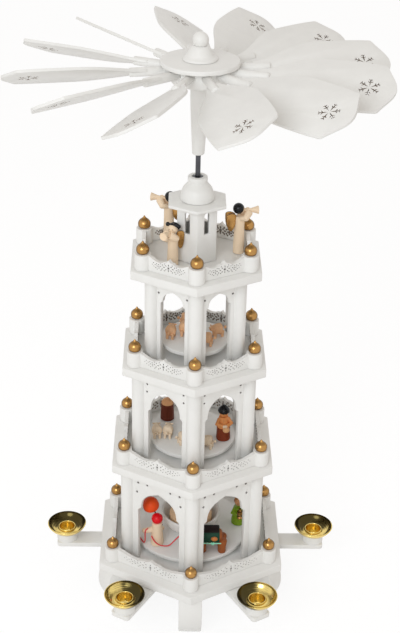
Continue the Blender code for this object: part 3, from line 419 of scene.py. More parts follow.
# Places and curves
def spun(degrees):
    """Turn about the upright axis."""
    return Matrix.Rotation(math.radians(degrees), 4, "Z")


def moved(x, y, z):
    """Shift to a place."""
    return Matrix.Translation((x, y, z))


def upright():
    """Stand a flat board up, so that its own Y points up."""
    return Matrix.Rotation(math.radians(90.0), 4, "X")


def side_angle(index):
    """Direction in which one side of the hexagon faces, in degrees."""
    return FRONT_CORNER + (index + 0.5) * 360.0 / SIDES


def corners(reach, height):
    """Places at the corners of the hexagon."""
    return [spun(FRONT_CORNER + i * 360.0 / SIDES) @ moved(reach, 0.0, height)
            for i in range(SIDES)]


def fronts(distance, height):
    """Places of upright boards along the sides, with their fronts facing outwards."""
    return [spun(side_angle(i) + 90.0) @ moved(0.0, -distance, height) @ upright()
            for i in range(SIDES)]


def hexagon(radius):
    """Corners of a hexagon, as (x, y) points."""
    angles = [math.radians(FRONT_CORNER + 360.0 / SIDES * i) for i in range(SIDES)]
    return [(radius * math.cos(angle), radius * math.sin(angle)) for angle in angles]


def arc(centre, radius, first, last, steps):
    """Points along an arc about (x, y), both ends included; angles in degrees."""
    points = []
    for i in range(steps + 1):
        angle = math.radians(first + (last - first) * i / steps)
        points.append((centre[0] + radius * math.cos(angle), centre[1] + radius * math.sin(angle)))
    return points


def bezier(start, handle_1, handle_2, end, steps):
    """Points along a cubic curve, both ends included."""
    points = []
    for i in range(steps + 1):
        t = i / steps
        weights = ((1 - t) ** 3, 3 * t * (1 - t) ** 2, 3 * t * t * (1 - t), t ** 3)
        knots = (start, handle_1, handle_2, end)
        points.append(tuple(sum(w * k[axis] for w, k in zip(weights, knots)) for axis in (0, 1)))
    return points


def mirrored(half):
    """A half outline that ends on x = 0, followed by its mirror image."""
    return half + [(-x, y) for x, y in reversed(half[:-1])]


def flowing(points, steps=8):
    """Finer points on a smooth curve through the given ones."""
    path = [Vector(point) for point in points]
    path = [2 * path[0] - path[1]] + path + [2 * path[-1] - path[-2]]
    fine = []
    for a, b, c, d in zip(path, path[1:], path[2:], path[3:]):
        for i in range(steps):
            t = i / steps
            fine.append(0.5 * (
                2 * b + (c - a) * t + (2 * a - 5 * b + 4 * c - d) * t * t
                + (3 * b - a - 3 * c + d) * t ** 3
            ))
    fine.append(path[-2])
    return fine


def disc_profile(radius, top, bottom, inner, edge=0.0008):
    """Closed profile of a flat round plate with eased edges and a bore."""
    return (
        [(inner, top)] + arc((radius - edge, top - edge), edge, 90.0, 0.0, 3)
        + arc((radius - edge, bottom + edge), edge, 0.0, -90.0, 3) + [(inner, bottom)]
    )


# Shader groups
def tuned(node, **settings):
    """Set a node's options and sockets by name, with spaces as underscores."""
    for name, value in settings.items():
        label = name.replace("_", " ")
        if label in node.inputs:
            node.inputs[label].default_value = value
        else:
            setattr(node, name, value)
    return node


def placed(tree, kind, **settings):
    """New shader node with its settings."""
    return tuned(tree.nodes.new(f"ShaderNode{kind}"), **settings)


def wired(tree, *links):
    """Links, each given as (node, output, node, input)."""
    for start, output, end, entry in links:
        tree.links.new(start.outputs[output], end.inputs[entry])


def shader_group(name, inputs, outputs):
    """New shader group; a default makes each input, and a kind each output."""
    group = bpy.data.node_groups.new(name, "ShaderNodeTree")
    for label, default in inputs.items():
        kind = "NodeSocketFloat" if isinstance(default, float) else "NodeSocketColor"
        socket = group.interface.new_socket(label, in_out="INPUT", socket_type=kind)
        socket.default_value = default
    for label, kind in outputs.items():
        group.interface.new_socket(label, in_out="OUTPUT", socket_type=f"NodeSocket{kind}")
    return group, group.nodes.new("NodeGroupInput"), group.nodes.new("NodeGroupOutput")


def surface_group(name):
    """Second colour in clouds or streaks, uneven gloss and relief from two noises, and more second
    colour in a mask of painted shade.
    """
    noises, onset, spread, gloss_noise, relief_noise, squeeze = SURFACES[name]
    group, entry, leave = shader_group(
        name,
        {"Colour": (0.8, 0.8, 0.8, 1.0), "Second": (0.5, 0.5, 0.5, 1.0), "Amount": 0.4,
         "Gloss": 0.4, "Shadow": 0.0},
        {"Colour": "Color", "Roughness": "Float", "Height": "Float"},
    )
    place = placed(group, "TexCoord")
    stretch = placed(group, "Mapping", Scale=(1.0, 1.0, squeeze))
    noises = [placed(group, "TexNoise", **settings) for settings in noises]
    amount = placed(group, "MapRange", From_Min=onset[0], From_Max=onset[1])
    weight = placed(group, "Math", operation="MULTIPLY")
    darkest = placed(group, "Math", operation="MAXIMUM")
    blend = placed(group, "Mix", data_type="RGBA")
    spread = placed(group, "MapRange", **spread)
    gloss = placed(group, "Math", operation="ADD")
    wired(
        group,
        (place, "Object", stretch, "Vector"),
        (stretch, "Vector", noises[0], "Vector"),
        (stretch, "Vector", noises[1], "Vector"),
        (noises[0], "Fac", amount, "Value"),
        (amount, "Result", weight, 0),
        (entry, "Amount", weight, 1),
        # the Shadow input is a mask of painted shade that adds more of the second colour
        (weight, "Value", darkest, 0),
        (entry, "Shadow", darkest, 1),
        (darkest, "Value", blend, "Factor"),
        (entry, "Colour", blend, "A"),
        (entry, "Second", blend, "B"),
        (noises[gloss_noise], "Fac", spread, "Value"),
        (spread, "Result", gloss, 0),
        (entry, "Gloss", gloss, 1),
        (blend, "Result", leave, "Colour"),
        (gloss, "Value", leave, "Roughness"),
        (noises[relief_noise], "Fac", leave, "Height"),
    )
    return group


# Of each surface: its two noises, where the second colour starts and is full, how the gloss
# follows a noise, the noises of gloss and relief, and how far the noises stretch upwards
SURFACES = {
    "Satin Paint": (
        ({"Scale": 55.0, "Detail": 4.0, "Roughness": 0.6},
         {"Scale": 900.0, "Detail": 3.0, "Roughness": 0.55}),
        (0.42, 0.75), {"From_Min": 0.3, "From_Max": 0.7, "To_Min": -0.07, "To_Max": 0.07},
        1, 1, 1.0),
    "Wood Grain": (
        ({"Scale": 520.0, "Detail": 5.0, "Roughness": 0.65, "Distortion": 0.4},
         {"Scale": 1900.0, "Detail": 2.0}),
        (0.44, 0.72), {"From_Min": 0.3, "From_Max": 0.7, "To_Min": -0.08, "To_Max": 0.10},
        1, 0, 0.09),
    "Metal Polish": (
        ({"Scale": 130.0, "Detail": 5.0, "Roughness": 0.6}, {"Scale": 1500.0, "Detail": 2.0}),
        (0.40, 0.80), {"From_Min": 0.3, "From_Max": 0.8, "To_Min": -0.04, "To_Max": 0.14},
        0, 1, 1.0),
}


def painted_reflection_group():
    """Painted reflection on spun brass: dark and bright sectors with fine rings, from its view from
    above.
    """
    group, _, leave = shader_group("Painted Brass Reflection", {}, {"Shadow": "Float"})
    above = placed(group, "UVMap", uv_map="above")
    reach = placed(group, "VectorMath", operation="LENGTH")
    way = placed(group, "VectorMath", operation="NORMALIZE")
    axes = placed(group, "SeparateXYZ")
    wobble = placed(group, "TexNoise", Scale=1.3, Detail=1.0)
    drift = placed(group, "MapRange", From_Min=0.3, From_Max=0.7, To_Min=-0.35, To_Max=0.45)
    rings = placed(group, "TexNoise", noise_dimensions="1D", Scale=34.0, Detail=1.0)
    line = placed(group, "MapRange", From_Min=0.3, From_Max=0.7, To_Min=-0.28, To_Max=0.28)
    first, second = [placed(group, "Math", operation="ADD") for _ in range(2)]
    sector = placed(group, "MapRange", interpolation_type="SMOOTHSTEP", From_Min=-0.45,
                    From_Max=0.45)
    dish = placed(group, "MapRange", interpolation_type="SMOOTHSTEP", From_Min=0.44,
                  From_Max=0.56)
    share = placed(group, "Math", operation="MULTIPLY")
    wired(
        group,
        (above, "UV", reach, 0), (above, "UV", way, 0),
        (way, "Vector", axes, "Vector"), (way, "Vector", wobble, "Vector"),
        (wobble, "Fac", drift, "Value"), (reach, "Value", rings, "W"),
        (rings, "Fac", line, "Value"), (axes, "X", first, 0), (drift, "Result", first, 1),
        (first, "Value", second, 0), (line, "Result", second, 1),
        (second, "Value", sector, "Value"), (reach, "Value", dish, "Value"),
        (sector, "Result", share, 0), (dish, "Result", share, 1),
        (share, "Value", leave, "Shadow"),
    )
    return group


def painted_brass_reflection(tree):
    """Mask of the painted dark reflection sectors, in a material."""
    group = bpy.data.node_groups.get("Painted Brass Reflection") or painted_reflection_group()
    return placed(tree, "Group", node_tree=group), "Shadow"


def painted_gold_shade(tree):
    """Mask of painted shade where a surface faces up or curves away, in a material."""
    facing = placed(tree, "LayerWeight", Blend=0.5)
    rim = placed(tree, "MapRange", From_Min=0.22, From_Max=0.85)
    surface = placed(tree, "NewGeometry")
    axes = placed(tree, "SeparateXYZ")
    crown = placed(tree, "MapRange", From_Min=0.60, From_Max=0.92)
    darkest = placed(tree, "Math", operation="MAXIMUM")
    wired(tree, (facing, "Facing", rim, "Value"), (surface, "Normal", axes, "Vector"),
          (axes, "Z", crown, "Value"), (rim, "Result", darkest, 0),
          (crown, "Result", darkest, 1))
    return darkest, "Value"


# Finishes
def shade_of(colour, factor):
    """Darker or lighter colour, with alpha."""
    return tuple(min(1.0, part * factor) for part in colour) + (1.0,)


def finish(name, surface, colour, second, amount, gloss, bump, distance, metallic=0.0, coat=0.0,
           specular=0.25, mask=None):
    """Material made once; its second colour, a factor of the first, shows most in the mask, which
    paints shade and dark reflections.
    """
    material = bpy.data.materials.get(name)
    if material:
        return material
    material = bpy.data.materials.new(name)
    material.use_nodes = True
    tree = material.node_tree
    shader = tuned(tree.nodes["Principled BSDF"], Metallic=metallic, Specular_IOR_Level=specular,
                   Coat_Weight=coat, Coat_Roughness=0.25)
    group = bpy.data.node_groups.get(surface) or surface_group(surface)
    node = placed(tree, "Group", node_tree=group, Colour=shade_of(colour, 1.0),
                  Second=shade_of(colour, second), Amount=amount, Gloss=gloss)
    relief = placed(tree, "Bump", Strength=bump, Distance=distance)
    wired(tree, (node, "Colour", shader, "Base Color"), (node, "Roughness", shader, "Roughness"),
          (node, "Height", relief, "Height"), (relief, "Normal", shader, "Normal"))
    # painted shade and dark reflections come in through the mask
    if mask:
        wired(tree, (*mask(tree), node, "Shadow"))
    return material


def paint(name, colour, gloss=0.38, mottle=0.35, shade=0.86, coat=0.0):
    """Painted wood of one colour."""
    return finish(name, "Satin Paint", colour, shade, mottle, gloss, 0.12, 0.00008, coat=coat)


def wood(name, colour, streak=0.72, gloss=0.45):
    """Bare or stained wood of one colour."""
    return finish(name, "Wood Grain", colour, streak, 0.6, gloss, 0.25, 0.0001)


def metal(name, colour, tarnish_and_shade, amount, gloss, metallic=1.0, mask=None):
    """Metal or metal paint of one colour; its darker second colour shows in clouds, and as painted
    shade where a mask is given.
    """
    return finish(name, "Metal Polish", colour, tarnish_and_shade, amount, gloss, 0.06, 0.00005,
                  metallic=metallic, specular=0.5, mask=mask)


def paints():
    """Chosen colours."""
    return bpy.context.scene.pyramid_paints


def sizes():
    """Chosen sizes."""
    return bpy.context.scene.pyramid_sizes


def white():
    """Satin white of the boards."""
    return paint("satin_white", paints().white, shade=0.93, mottle=0.5)


def sawn_pale():
    """Pale grey walls of the holes that a beam cuts through painted board."""
    return paint("sawn_pale", (0.42, 0.40, 0.38), gloss=0.7)


def singed():
    """Brown edge that a cutting beam leaves."""
    return wood("singed_edge", (0.16, 0.085, 0.035), gloss=0.7)


def spun_brass():
    """Brass with painted reflections: dark and bright sectors from the cup's view from above."""
    return metal("spun_brass", paints().brass, 0.08, 0.12, 0.16, mask=painted_brass_reflection)


def gold():
    """Gold paint with darker clouds, and painted shade where it faces up or curves away."""
    return metal("gold_paint", paints().gold, 0.16, 0.15, 0.24, metallic=0.9, mask=painted_gold_shade)


def beech():
    """Bare pale wood."""
    return wood("pale_wood", paints().beech)


def black():
    """Glossy black of hair and hats."""
    return paint("gloss_black", (0.006, 0.006, 0.007), gloss=0.30, shade=0.6)


# Heights of the plates and turntables, read from the frame
def plate_span(level):
    """Lowest and highest level of one plate; the base is as thick as the first deck."""
    low, high = (corner.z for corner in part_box(f"deck_{max(level, 1)}"))
    if level == 0:
        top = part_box("parapet_1")[0].z - SEAT_GAP
        return top - (high - low), top
    return low, high


def turntable_top(storey):
    """Level of the upper face of one turntable."""
    if storey < 2:
        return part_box(("driver", "shepherd_1")[storey])[0].z - SEAT_GAP
    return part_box("turntable_3")[0].z + TURNTABLE_THICKNESS + COLLAR_DROP


def standing(storey, x, y, heading=0.0, gap=SEAT_GAP):
    """Place on one turntable."""
    return moved(x, y, turntable_top(storey) + gap) @ spun(heading)


# Base
def drill(radius, reach, steps):
    """Round cutter about the origin."""
    return turned("drill", [(0.0, reach), (radius, reach), (radius, -reach), (0.0, -reach)], steps)


def hexagonal_plate(name, radius, low, high):
    """Hexagonal plate between two levels, with a round hole for the spindle."""
    plate = cut(sawn(name, hexagon(radius), high - low), drill(SPINDLE_HOLE, high - low, 32))
    return raised(eased(plate, 0.0008, 3), (low + high) / 2)


def make_base():
    """Base plate on its six legs."""
    low, high = plate_span(0)
    plate = hexagonal_plate("base_board", PLATE_RADII[0], low, high)
    outline = bezier((0.0816, 0.0), (0.0983, 0.0160), (0.1000, 0.0320), (0.0920, low), 14)
    outline += [(0.0680, low), (0.0680, 0.0)]
    leg = eased(sawn("leg", outline, 0.0215), 0.0009)
    legs = ringed("legs", leg, [place @ upright() for place in corners(0.0, 0.0)])
    white_piece(smoothed(joined("base_plate_with_legs", [plate, legs])), "stand", "base_plate")


def make_arms():
    """Six candle arms, each a flat board with a bored round block."""
    half = 0.0095
    end = CUP_CIRCLE + 0.0094
    tip = arc((end - 0.0030, half - 0.0030), 0.0030, 90.0, 0.0, 5)
    outline = [(0.0560, -half), (0.0560, half)] + tip + [(x, -y) for x, y in reversed(tip)]
    arm = raised(eased(sawn("arm", outline, 0.0048), 0.0006), 0.0480 - 0.0024)
    block = turned("block", disc_profile(0.0100, 0.0580, 0.0479, 0.0086, 0.0007), 40, True)
    settled(block, moved(CUP_CIRCLE, 0.0, 0.0))
    pattern = smoothed(joined("arm", [arm, block]))
    for i in range(SIDES):
        arm = copied(pattern, f"candle_arm_board_{i + 1}", spun(side_angle(i)))
        white_piece(arm, "stand", f"candle_arm_{i + 1}")
    bpy.data.objects.remove(pattern, do_unlink=True)


def make_cups():
    """Six spun brass cups, each a drip dish with a rolled rim and a candle socket."""
    floor = -0.0076
    profile = [(0.0, floor), (SOCKET_BORE - 0.0006, floor), (SOCKET_BORE, floor + 0.0006)]
    profile += [(SOCKET_BORE, 0.0026)]
    profile += arc((SOCKET_BORE + 0.0005, 0.0032), 0.0005, 180.0, 0.0, 5)
    profile += [(SOCKET_BORE + 0.0009, 0.0014), (SOCKET_BORE + 0.0016, 0.0009)]
    profile += bezier((0.0100, 0.0008), (0.0135, 0.0010), (0.0158, 0.0034), (0.0178, 0.0070), 8)
    profile += arc((0.0182, 0.0072), 0.0005, 150.0, -30.0, 5)
    profile += bezier((0.0184, 0.0064), (0.0162, 0.0024), (0.0136, 0.0000), (0.0100, 0.0), 8)
    profile += [(0.0082, 0.0), (0.0082, floor - 0.0003), (0.0076, floor - 0.0008)]
    profile += [(0.0, floor - 0.0008)]
    pattern = painted(smoothed(turned("cup", profile, 72), 50.0), spun_brass())
    for i, sheen in enumerate(CUP_PAINTED_REFLECTION):
        cup = copied(pattern, f"brass_cup_{i + 1}", None)
        # turn each cup's painted reflection to its own direction
        seen_from_above(cup, 0.0187, sheen - side_angle(i))
        settled(cup, spun(side_angle(i)) @ moved(CUP_CIRCLE, 0.0, 0.0583))
        mounted(cup, "stand", f"candle_cup_{i + 1}", slot="brass")
    bpy.data.objects.remove(pattern, do_unlink=True)


def seen_from_above(piece, reach, angle):
    """Give a turned piece a flat map of its view from above, turned by an angle in degrees."""
    turn = spun(-angle)
    flat = piece.data.uv_layers.new(name="above")
    for loop in piece.data.loops:
        point = turn @ piece.data.vertices[loop.vertex_index].co
        flat.data[loop.index].uv = (point.x / reach, point.y / reach)


# Plates and parapets
def make_decks():
    """Two storey decks and the gallery deck."""
    for level in (1, 2, 3):
        deck = hexagonal_plate(f"deck_board_{level}", PLATE_RADII[level], *plate_span(level))
        white_piece(smoothed(deck), "stand", f"deck_{level}")


def parapet_wave(half):
    """Top edge of half a parapet board, from its end to the peak in its middle."""
    wave = bezier((half, 0.0139), (0.84 * half, 0.0134), (0.66 * half, 0.0100),
                  (0.46 * half, 0.0101), 8)
    wave += bezier((0.46 * half, 0.0101), (0.34 * half, 0.0101), (0.26 * half, 0.0108),
                   (0.21 * half, 0.0121), 4)[1:]
    wave += bezier((0.21 * half, 0.0121), (0.13 * half, 0.0114), (0.06 * half, 0.0124),
                   (0.0, 0.0147), 4)[1:]
    return wave


def filigree(half):
    """Places of the small cut-outs in a parapet board: sideways, height, reach, width, turn."""
    holes = [(0.0, 0.0098, 0.0011, 0.00042, 90.0), (0.0, 0.0046, 0.0011, 0.00042, 90.0)]
    for turn in (0.0, 60.0, 120.0):
        holes.append((0.0, 0.0071, 0.0016, 0.00034, turn))
    for side in (-1.0, 1.0):
        for place, height, reach, turn in (
            (0.13, 0.0088, 0.0010, 35.0), (0.13, 0.0052, 0.0010, -35.0),
            (0.22, 0.0071, 0.0012, 0.0), (0.29, 0.0090, 0.0008, 60.0),
            (0.31, 0.0050, 0.0010, -50.0), (0.38, 0.0070, 0.0010, 25.0),
            (0.45, 0.0052, 0.0009, -30.0), (0.47, 0.0083, 0.0008, 40.0),
            (0.54, 0.0066, 0.0008, 10.0), (0.61, 0.0049, 0.0007, -40.0),
            (0.64, 0.0076, 0.0006, 0.0), (0.18, 0.0104, 0.0007, -60.0),
            (0.20, 0.0040, 0.0008, 70.0), (0.36, 0.0035, 0.0007, 15.0),
            (0.38, 0.0095, 0.0007, -20.0), (0.46, 0.0067, 0.0006, 80.0),
            (0.54, 0.0038, 0.0006, 30.0), (0.57, 0.0086, 0.0007, 60.0),
            (0.70, 0.0058, 0.0006, 40.0), (0.72, 0.0090, 0.0006, -30.0),
            (0.78, 0.0073, 0.0005, 10.0),
        ):
            holes.append((side * place * half, height, reach, 0.00038, side * turn))
    return holes


def slit_cutter(name, slits, depth, margin, material):
    """Slim pointed cutters, each given by its place, reach, half width and turn."""
    cutters = []
    for x, y, reach, width, turn in slits:
        long, wide = reach + margin, width + margin
        outline = [(long, 0.0), (0.35 * long, wide), (-0.35 * long, wide),
                   (-long, 0.0), (-0.35 * long, -wide), (0.35 * long, -wide)]
        slit = sawn(name, outline, depth)
        cutters.append(settled(slit, moved(x, y, 0.0) @ spun(turn)))
    return painted(joined(name, cutters), material)


def make_parapets():
    """Ring of filigree boards and corner posts on each plate, and its gold finials."""
    for level in range(4):
        foot = plate_span(level)[1] + SEAT_GAP
        reach = PLATE_RADII[level] - POST_INSETS[level]
        half = reach / 2 - POST_RADIUS + 0.0010
        outline = mirrored([(half, 0.0)] + parapet_wave(half))
        panel = painted(sawn("panel", outline, sizes().board), white())
        scorch = slit_cutter("scorch", filigree(half), 0.0006, 0.00035, singed())
        cut(panel, raised(scorch, -sizes().board / 2))
        cut(panel, slit_cutter("slits", filigree(half), 0.006, 0.0, sawn_pale()))
        boards = ringed("boards", panel, fronts(reach * math.cos(math.pi / SIDES), foot))
        post = turned("post", [(0.0, POST_HEIGHT)]
                      + arc((POST_RADIUS - 0.0006, POST_HEIGHT - 0.0006), 0.0006, 90.0, 0.0, 3)
                      + [(POST_RADIUS, 0.0), (0.0, 0.0)], 40)
        posts = ringed("posts", painted(post, white()), corners(reach, foot))
        ring = smoothed(joined(f"parapet_ring_{level + 1}", [boards, posts]), 45.0)
        mounted(ring, "stand", f"parapet_{level + 1}", slot="white_paint")
        finial = painted(turned("finial", finial_profile(), 36), gold())
        finials = ringed(f"finials_{level + 1}", finial, corners(reach, foot + POST_HEIGHT))
        mounted(smoothed(finials, 60.0), "stand")


def finial_profile():
    """Onion finial from its tip down to its foot."""
    profile = [(0.0, 0.0118), (0.0004, 0.0115)]
    profile += bezier((0.0009, 0.0106), (0.0018, 0.0086), (0.0046, 0.0082), (0.0056, 0.0050), 8)
    profile += bezier((0.0056, 0.0050), (0.0061, 0.0026), (0.0054, 0.0006), (0.0040, 0.0002), 6)[1:]
    return profile + [(0.0, 0.0002)]


# Columns and arches
def arch_outline(storey, height):
    """Edge of one arch board, open at the foot."""
    jamb, shoulder, spring, peak = ARCH_SIZES[storey]
    half = COLUMN_CIRCLES[storey] / 2 - COLUMN_RADIUS + 0.0008
    foot = spring + 0.85 * shoulder
    inner = jamb - shoulder
    climb = peak - foot
    curve = bezier((jamb, spring), (jamb - 0.2 * shoulder, spring + 0.5 * shoulder),
                   (inner + 0.3 * shoulder, foot), (inner, foot), 4)
    curve += bezier((inner, foot), (0.98 * inner, foot + 0.62 * climb),
                    (0.62 * inner, foot + 0.80 * climb), (0.0, peak), 16)[1:]
    opening = mirrored([(jamb, 0.0)] + curve)
    return opening + [(-half, 0.0), (-half, height), (half, height), (half, 0.0)]


def make_colonnades():
    """Six columns with drilled arch boards between them, in each storey."""
    for storey in range(3):
        low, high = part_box(f"colonnade_{storey + 1}")
        height = high.z - low.z
        circle = COLUMN_CIRCLES[storey]
        panel = painted(sawn("panel", arch_outline(storey, height), sizes().arch), white())
        drills = [settled(drill(radius, 0.006, 16), moved(side * x, y, 0.0))
                  for x, y, radius in ARCH_DOTS[storey] for side in (-1.0, 1.0)]
        cut(panel, painted(joined("drills", drills), sawn_pale()))
        eased(panel, 0.0003, 2, 50.0)
        panels = ringed("panels", panel, fronts(circle * math.cos(math.pi / SIDES), low.z))
        column = turned("column", [(0.0, height), (COLUMN_RADIUS - 0.0004, height),
                                   (COLUMN_RADIUS, height - 0.0004), (COLUMN_RADIUS, 0.0004),
                                   (COLUMN_RADIUS - 0.0004, 0.0), (0.0, 0.0)], 40)
        columns = ringed("columns", painted(column, white()), corners(circle, low.z))
        ring = smoothed(joined(f"columns_and_arches_{storey + 1}", [panels, columns]), 45.0)
        mounted(ring, "stand", f"colonnade_{storey + 1}", slot="white_paint")


# Tower
def make_tower():
    """Hexagonal tower with slim windows, its roof plate and the bell-shaped cap."""
    low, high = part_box("tower")
    height = high.z - low.z
    outer = hexagon(0.0198)
    shell = raised(sawn("tower_shell", outer, height), height / 2)
    core = sawn("core", [(x * 0.848, y * 0.848) for x, y in outer], height * 1.2)
    cut(shell, raised(core, height / 2))
    slot = [(-0.0025, 0.0270), (0.0025, 0.0270)] + arc((0.0, 0.0443), 0.0025, 0.0, 180.0, 8)
    for place in fronts(0.0172, 0.0):
        cut(shell, settled(sawn("window", slot, 0.014), place))
    smoothed(eased(shell, 0.0005, 2), 35.0)
    white_piece(shell, "stand", "tower", moved(0.0, 0.0, low.z))
    low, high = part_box("tower_roof")
    roof = hexagonal_plate("roof_board", 0.0285, low.z, high.z)
    white_piece(smoothed(roof), "stand", "tower_roof")
    make_bell()


def make_bell():
    """Turned cap with a collar round the dark mouth of the bearing."""
    profile = arc((0.0078, 0.0204), 0.0008, 90.0, 0.0, 4)
    profile += [(0.0086, 0.0178), (0.0084, 0.0172)]
    profile += bezier((0.0079, 0.0166), (0.0094, 0.0136), (0.0122, 0.0122), (0.0131, 0.0092), 8)
    profile += bezier((0.0133, 0.0086), (0.0139, 0.0066), (0.0146, 0.0054), (0.0147, 0.0030), 6)
    profile += [(0.0147, 0.0006), (0.0141, 0.0), (0.0050, 0.0), (0.0050, 0.0212)]
    bell = smoothed(turned("bell_turning", profile, 56, True), 40.0)
    white_piece(bell, "stand", "bell_cap", moved(0.0, 0.0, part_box("bell_cap")[0].z))


# Wing wheel
def make_steel():
    """Finish of the spindle and its two bearings, which keep their turned shapes."""
    for name in ("spindle", "foot_bearing", "upper_bush"):
        painted(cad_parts[name], metal("drawn_steel", paints().steel, 0.5, 0.4, 0.28))


def make_wheel_head():
    """Shaft, hub, disc and knob of the wing wheel."""
    profile = [(0.0, 0.0710), (0.0048, 0.0710), (0.0048, 0.0630), (0.0076, 0.0630),
               (0.0076, 0.0520)]
    profile += bezier((0.0076, 0.0500), (0.0074, 0.0360), (0.0060, 0.0160), (0.0053, 0.0020), 8)
    profile += arc((0.0042, 0.0011), 0.0011, 0.0, -90.0, 4) + [(0.0026, 0.0), (0.0026, 0.0500)]
    profile += [(0.0, 0.0500)]
    shaft = smoothed(turned("shaft_turning", profile, 48), 45.0)
    white_piece(shaft, "rotor", "shaft", moved(0.0, 0.0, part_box("shaft")[0].z))
    for node, radius, steps in (("hub", HUB_RADIUS, 72), ("hub_disc", HUB_DISC_RADIUS, 96)):
        low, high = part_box(node)
        profile = disc_profile(radius, high.z, low.z, 0.0051, 0.0010)
        white_piece(smoothed(turned(f"{node}_turning", profile, steps, True)), "rotor", node)
    make_knob()


def make_knob():
    """Bell-shaped foot with a ball on it, plugged through the disc into the hub."""
    ball, neck, shoulder = 0.0068, 0.0050, 0.0114
    centre = shoulder + math.sqrt(ball ** 2 - neck ** 2)
    profile = arc((0.0, centre), ball, 90.0, -50.0, 12)
    profile[0] = (0.0, centre + ball)
    profile += bezier((0.0055, 0.0116), (0.0080, 0.0108), (0.0088, 0.0086), (0.0107, 0.0052), 8)
    profile += bezier((0.0112, 0.0042), (0.0118, 0.0030), (0.0130, 0.0024), (0.0142, 0.0018), 5)
    profile += [(0.0145, 0.0010), (0.0145, 0.0), (0.0048, 0.0), (0.0048, -0.0092),
                (0.0, -0.0092)]
    knob = smoothed(turned("knob_turning", profile, 48), 45.0)
    white_piece(knob, "rotor", "hub_knob", moved(0.0, 0.0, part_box("hub_disc")[1].z + SEAT_GAP))


def wing_outline():
    """Edge of a wing, narrow at the root, with a gently curved end between two corners."""
    flare = bezier((0.0450, 0.0050), (0.0660, 0.0090), (0.0800, 0.0262), (0.1040, 0.0262), 14)
    flare += bezier((0.1040, 0.0262), (0.1120, 0.0264), (0.1340, 0.0270), (0.1490, 0.0253), 6)[1:]
    corner = bezier((0.1490, 0.0253), (0.1500, 0.0252), (0.1508, 0.0246), (0.1514, 0.0234), 4)
    tip = bezier((0.1514, 0.0234), (0.1560, 0.0140), (0.1620, 0.0080), (0.1620, 0.0), 9)
    upper = flare + corner[1:] + tip[1:]
    return upper + [(x, -y) for x, y in reversed(upper[:-1])]


def snowflake():
    """Slits of a snowflake: six arms, each with two pairs of twigs."""
    slits = []
    for i in range(SIDES):
        turn = 30.0 + 60.0 * i
        along = Vector((math.cos(math.radians(turn)), math.sin(math.radians(turn))))
        middle = along * (0.56 * STAR_REACH)
        slits.append((STAR_PLACE + middle.x, middle.y, 0.46 * STAR_REACH, 0.00042, turn))
        for share, length in ((0.52, 0.30), (0.80, 0.22)):
            for side in (-1.0, 1.0):
                lean = turn + side * 52.0
                twig = Vector((math.cos(math.radians(lean)), math.sin(math.radians(lean))))
                spot = along * (share * STAR_REACH) + twig * (length * STAR_REACH * 0.55)
                slits.append((STAR_PLACE + spot.x, spot.y, 0.5 * length * STAR_REACH, 0.00030,
                              lean))
    return slits


def make_wings():
    """Twelve wings with a snowflake cut through each, glued in slotted dowels."""
    blade = painted(sawn("blade", wing_outline(), sizes().wing), white())
    cut(blade, slit_cutter("flake", snowflake(), 0.006, 0.0, singed()))
    eased(blade, 0.0003, 2, 60.0)
    stick = turned(
        "dowel",
        [(0.0, DOWEL_END)] + arc((DOWEL_RADIUS - 0.0014, DOWEL_END - 0.0014), 0.0014, 90.0, 0.0, 4)
        + [(DOWEL_RADIUS, HUB_RADIUS + 0.0009), (DOWEL_RADIUS - 0.0006, HUB_RADIUS + 0.0003),
           (PLUG_RADIUS, HUB_RADIUS + 0.0003), (PLUG_RADIUS, HUB_RADIUS - PLUG_DEPTH),
           (0.0, HUB_RADIUS - PLUG_DEPTH)],
        32,
    )
    settled(painted(stick, white()), Matrix.Rotation(math.radians(90.0), 4, "Y"))
    pattern = smoothed(joined("wing", [blade, stick]), 45.0)
    for i, (sideways, slip) in enumerate(WING_SLACK):
        tilt = Matrix.Rotation(sizes().pitch + math.radians(slip), 4, "X")
        turn = spun(WING_FIRST_ANGLE + i * 360.0 / WING_COUNT)
        turn = turn @ moved(WING_PIVOT, 0.0, 0.0) @ spun(sideways) @ moved(-WING_PIVOT, 0.0, 0.0)
        wing = copied(pattern, f"wing_board_{i + 1}", turn @ moved(0.0, 0.0, WING_LEVEL) @ tilt)
        mounted(wing, f"wing_{i + 1}_blade", f"wing_{i + 1}", slot="white_paint")
    bpy.data.objects.remove(pattern, do_unlink=True)


# Turntables and animals
def make_turntables():
    """Round white turntables with a collar, and the flocks that stand on two of them."""
    bore = SPINDLE_RADIUS + 0.0003
    for storey, radius in enumerate(TURNTABLE_RADII):
        top = turntable_top(storey)
        low = top - TURNTABLE_THICKNESS
        profile = disc_profile(radius, top, low, bore, 0.0007)[:-1]
        profile += [(0.0070, low), (0.0070, low - COLLAR_DROP), (bore, low - COLLAR_DROP)]
        disc = smoothed(turned(f"turntable_disc_{storey + 1}", profile, 96, True))
        painted(disc, paint("turntable_white", paints().white, shade=0.9, mottle=0.6))
        mounted(disc, "rotor", f"turntable_{storey + 1}", slot="white_paint")
    make_flock(1, LAMBS_2, "lamb", wood("wool_pale", (0.86, 0.70, 0.52), gloss=0.6))
    make_flock(2, SHEEP_3, "sheep", wood("wool_tan", (0.84, 0.50, 0.28), gloss=0.6))


def make_flock(storey, spots, name, fleece):
    """Carved sheep, each with a small low head, ears and dark eyes."""
    pattern = sheep(fleece)
    for number, (x, y, heading) in enumerate(spots, 1):
        one = copied(pattern, f"{name}_{number}", standing(storey, x, y, heading, 0.0001))
        mounted(one, "rotor")
    bpy.data.objects.remove(pattern, do_unlink=True)


